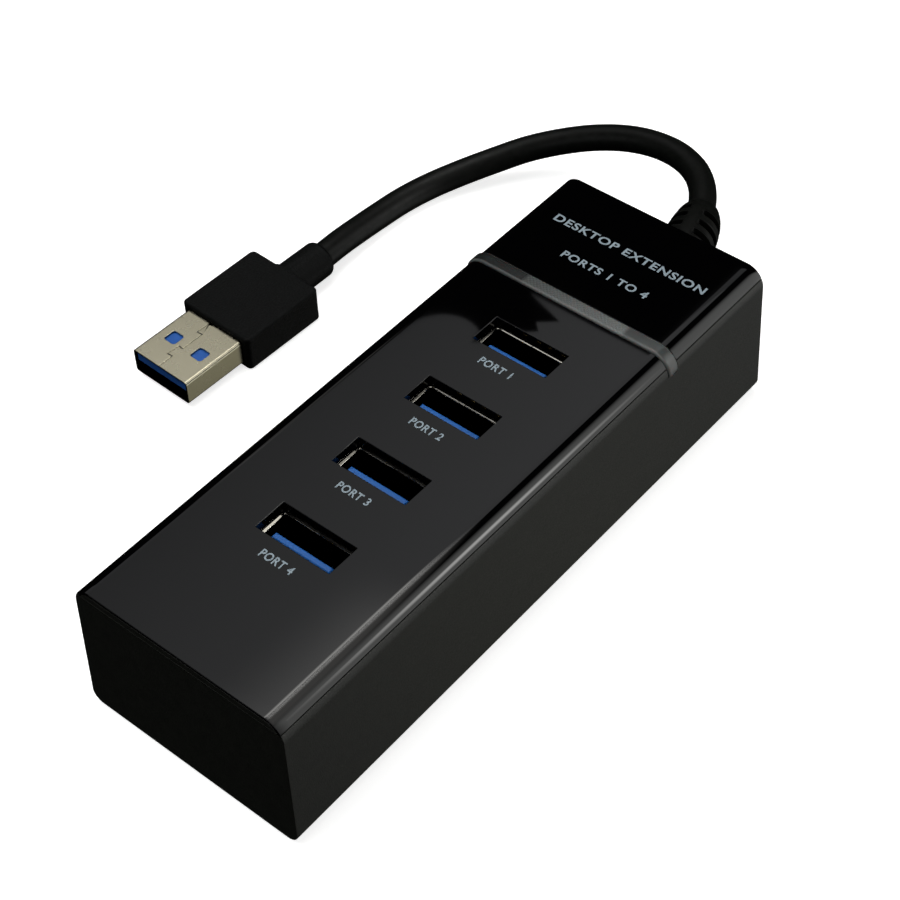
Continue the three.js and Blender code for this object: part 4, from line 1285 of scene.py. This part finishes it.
def glow(name, colour):
    """A material that gives light and hides nothing, with the X, Y and Z of its point and its strength."""
    material = bpy.data.materials.new(name)
    material.use_nodes = True
    nodes, links = material.node_tree.nodes, material.node_tree.links
    nodes.clear()
    output = nodes.new("ShaderNodeOutputMaterial")
    emission = nodes.new("ShaderNodeEmission")
    emission.inputs["Color"].default_value = (*colour, 1)
    clear = nodes.new("ShaderNodeBsdfTransparent")
    both = nodes.new("ShaderNodeAddShader")
    links.new(emission.outputs[0], both.inputs[0])
    links.new(clear.outputs[0], both.inputs[1])
    links.new(both.outputs[0], output.inputs["Surface"])
    coordinates = nodes.new("ShaderNodeTexCoord")
    axes = nodes.new("ShaderNodeSeparateXYZ")
    links.new(coordinates.outputs["Object"], axes.inputs["Vector"])
    return material, axes.outputs, emission.inputs["Strength"]


def ramp(material, source, start, end, low, high, interpolation="SMOOTHSTEP"):
    """Runs from low to high as the source goes from start to end."""
    node = material.node_tree.nodes.new("ShaderNodeMapRange")
    node.interpolation_type = interpolation
    for socket, value in (("From Min", start), ("From Max", end), ("To Min", low), ("To Max", high)):
        node.inputs[socket].default_value = value
    material.node_tree.links.new(source, node.inputs["Value"])
    return node.outputs["Result"]


def light_card(name, place, target, size, strength, colour, fade):
    """A soft box that faces its target and fades out towards its edges."""
    material, axes, power = glow(name, colour)
    nodes, links = material.node_tree.nodes, material.node_tree.links
    product = nodes.new("ShaderNodeMath")
    product.operation = "MULTIPLY"
    for factor, axis, full, share, top in zip(product.inputs, "XY", size, fade, (1, strength)):
        distance = nodes.new("ShaderNodeMath")
        distance.operation = "ABSOLUTE"
        links.new(axes[axis], distance.inputs[0])
        links.new(ramp(material, distance.outputs[0], full / 2, full / 2 * (1 - share), 0, top), factor)
    links.new(product.outputs[0], power)
    card = unseen(stage_object(name, plane(size[0] / 2, size[1] / 2), material))
    card.location = place
    card.rotation_euler = (Vector(target) - Vector(place)).to_track_quat("-Z", "Y").to_euler()


def back_panel():
    """The big soft box behind the hub, a little brighter to the right. The gloss cover shows its far edge."""
    material, axes, power = glow("back_panel", COOL)
    material.node_tree.links.new(ramp(material, axes["X"], -0.36, -0.25, 0.4, 0.64, "LINEAR"), power)
    right_edge = [(0, 0), (0, PANEL["far"])]
    torn_edge = [(-0.324, PANEL["far"]), (-0.3, 0.4245), (-0.308, 0.416), (-0.303, 0.411), (-0.324, 0.388)]
    bulge = arc((-0.3345, 0.3765), 0.021, 60, 195, 12)
    left_edge = [(-0.44, 0.352), (-1, 0.3), (-1, 0)]
    outline = right_edge + torn_edge + bulge + left_edge
    mesh = bpy.data.meshes.new("back_panel")
    mesh.from_pydata([(x, y, 0) for x, y in outline], [], [range(len(outline))])
    card = unseen(stage_object("back_panel", mesh, material))
    card.location.z = PANEL["height"]


def studio():
    world = bpy.data.worlds.new("studio")
    bpy.context.scene.world = world
    world.use_nodes = True
    nodes, links = world.node_tree.nodes, world.node_tree.links
    background = nodes["Background"]
    path = nodes.new("ShaderNodeLightPath")
    strength = nodes.new("ShaderNodeMapRange")
    strength.inputs["To Min"].default_value = 0.004
    strength.inputs["To Max"].default_value = 0.93
    links.new(path.outputs["Is Camera Ray"], strength.inputs["Value"])
    background.inputs["Color"].default_value = (1, 1, 1, 1)
    links.new(strength.outputs["Result"], background.inputs["Strength"])
    bpy.context.scene.view_settings.view_transform = "Standard"
    bpy.context.scene.view_settings.look = "None"
    pale_floor()
    back_panel()
    for name, (place, target, size, strength, colour, fade) in CARDS.items():
        light_card(name, place, target, size, strength, colour, fade)
    bpy.data.objects["table_glow"].visible_diffuse = False
    bpy.data.objects["fill"].visible_glossy = False


# ------------------------------------------------------------ the object

make_camera()

LEAD_MATERIAL = lead_black()
LEAD = cable(LEAD_MATERIAL)
NICKEL = nickel()
SOCKET_NICKEL = socket_nickel()
SOCKET_BLUE = socket_blue(span("receptacle_insulator_1")[1].z)
GOLD = gold()
ON_LEAD = [
    strain_relief(LEAD_MATERIAL),
    plug_grip(grip_black()),
    plug_shell(NICKEL),
    plug_insulator(blue_plastic()),
    plug_contacts(GOLD),
]

base_case(spark_eroded_black())
top_cover(gloss_black())
light_bar(bar_clear())
for port in PORTS:
    socket_shell(port, SOCKET_NICKEL)
    socket_insulator(port, SOCKET_BLUE)
    socket_contacts(port, GOLD)
case_screws(zinc())
rubber_feet(foot_rubber())
cover_print(print_grey())
finish_inner_parts()
studio()
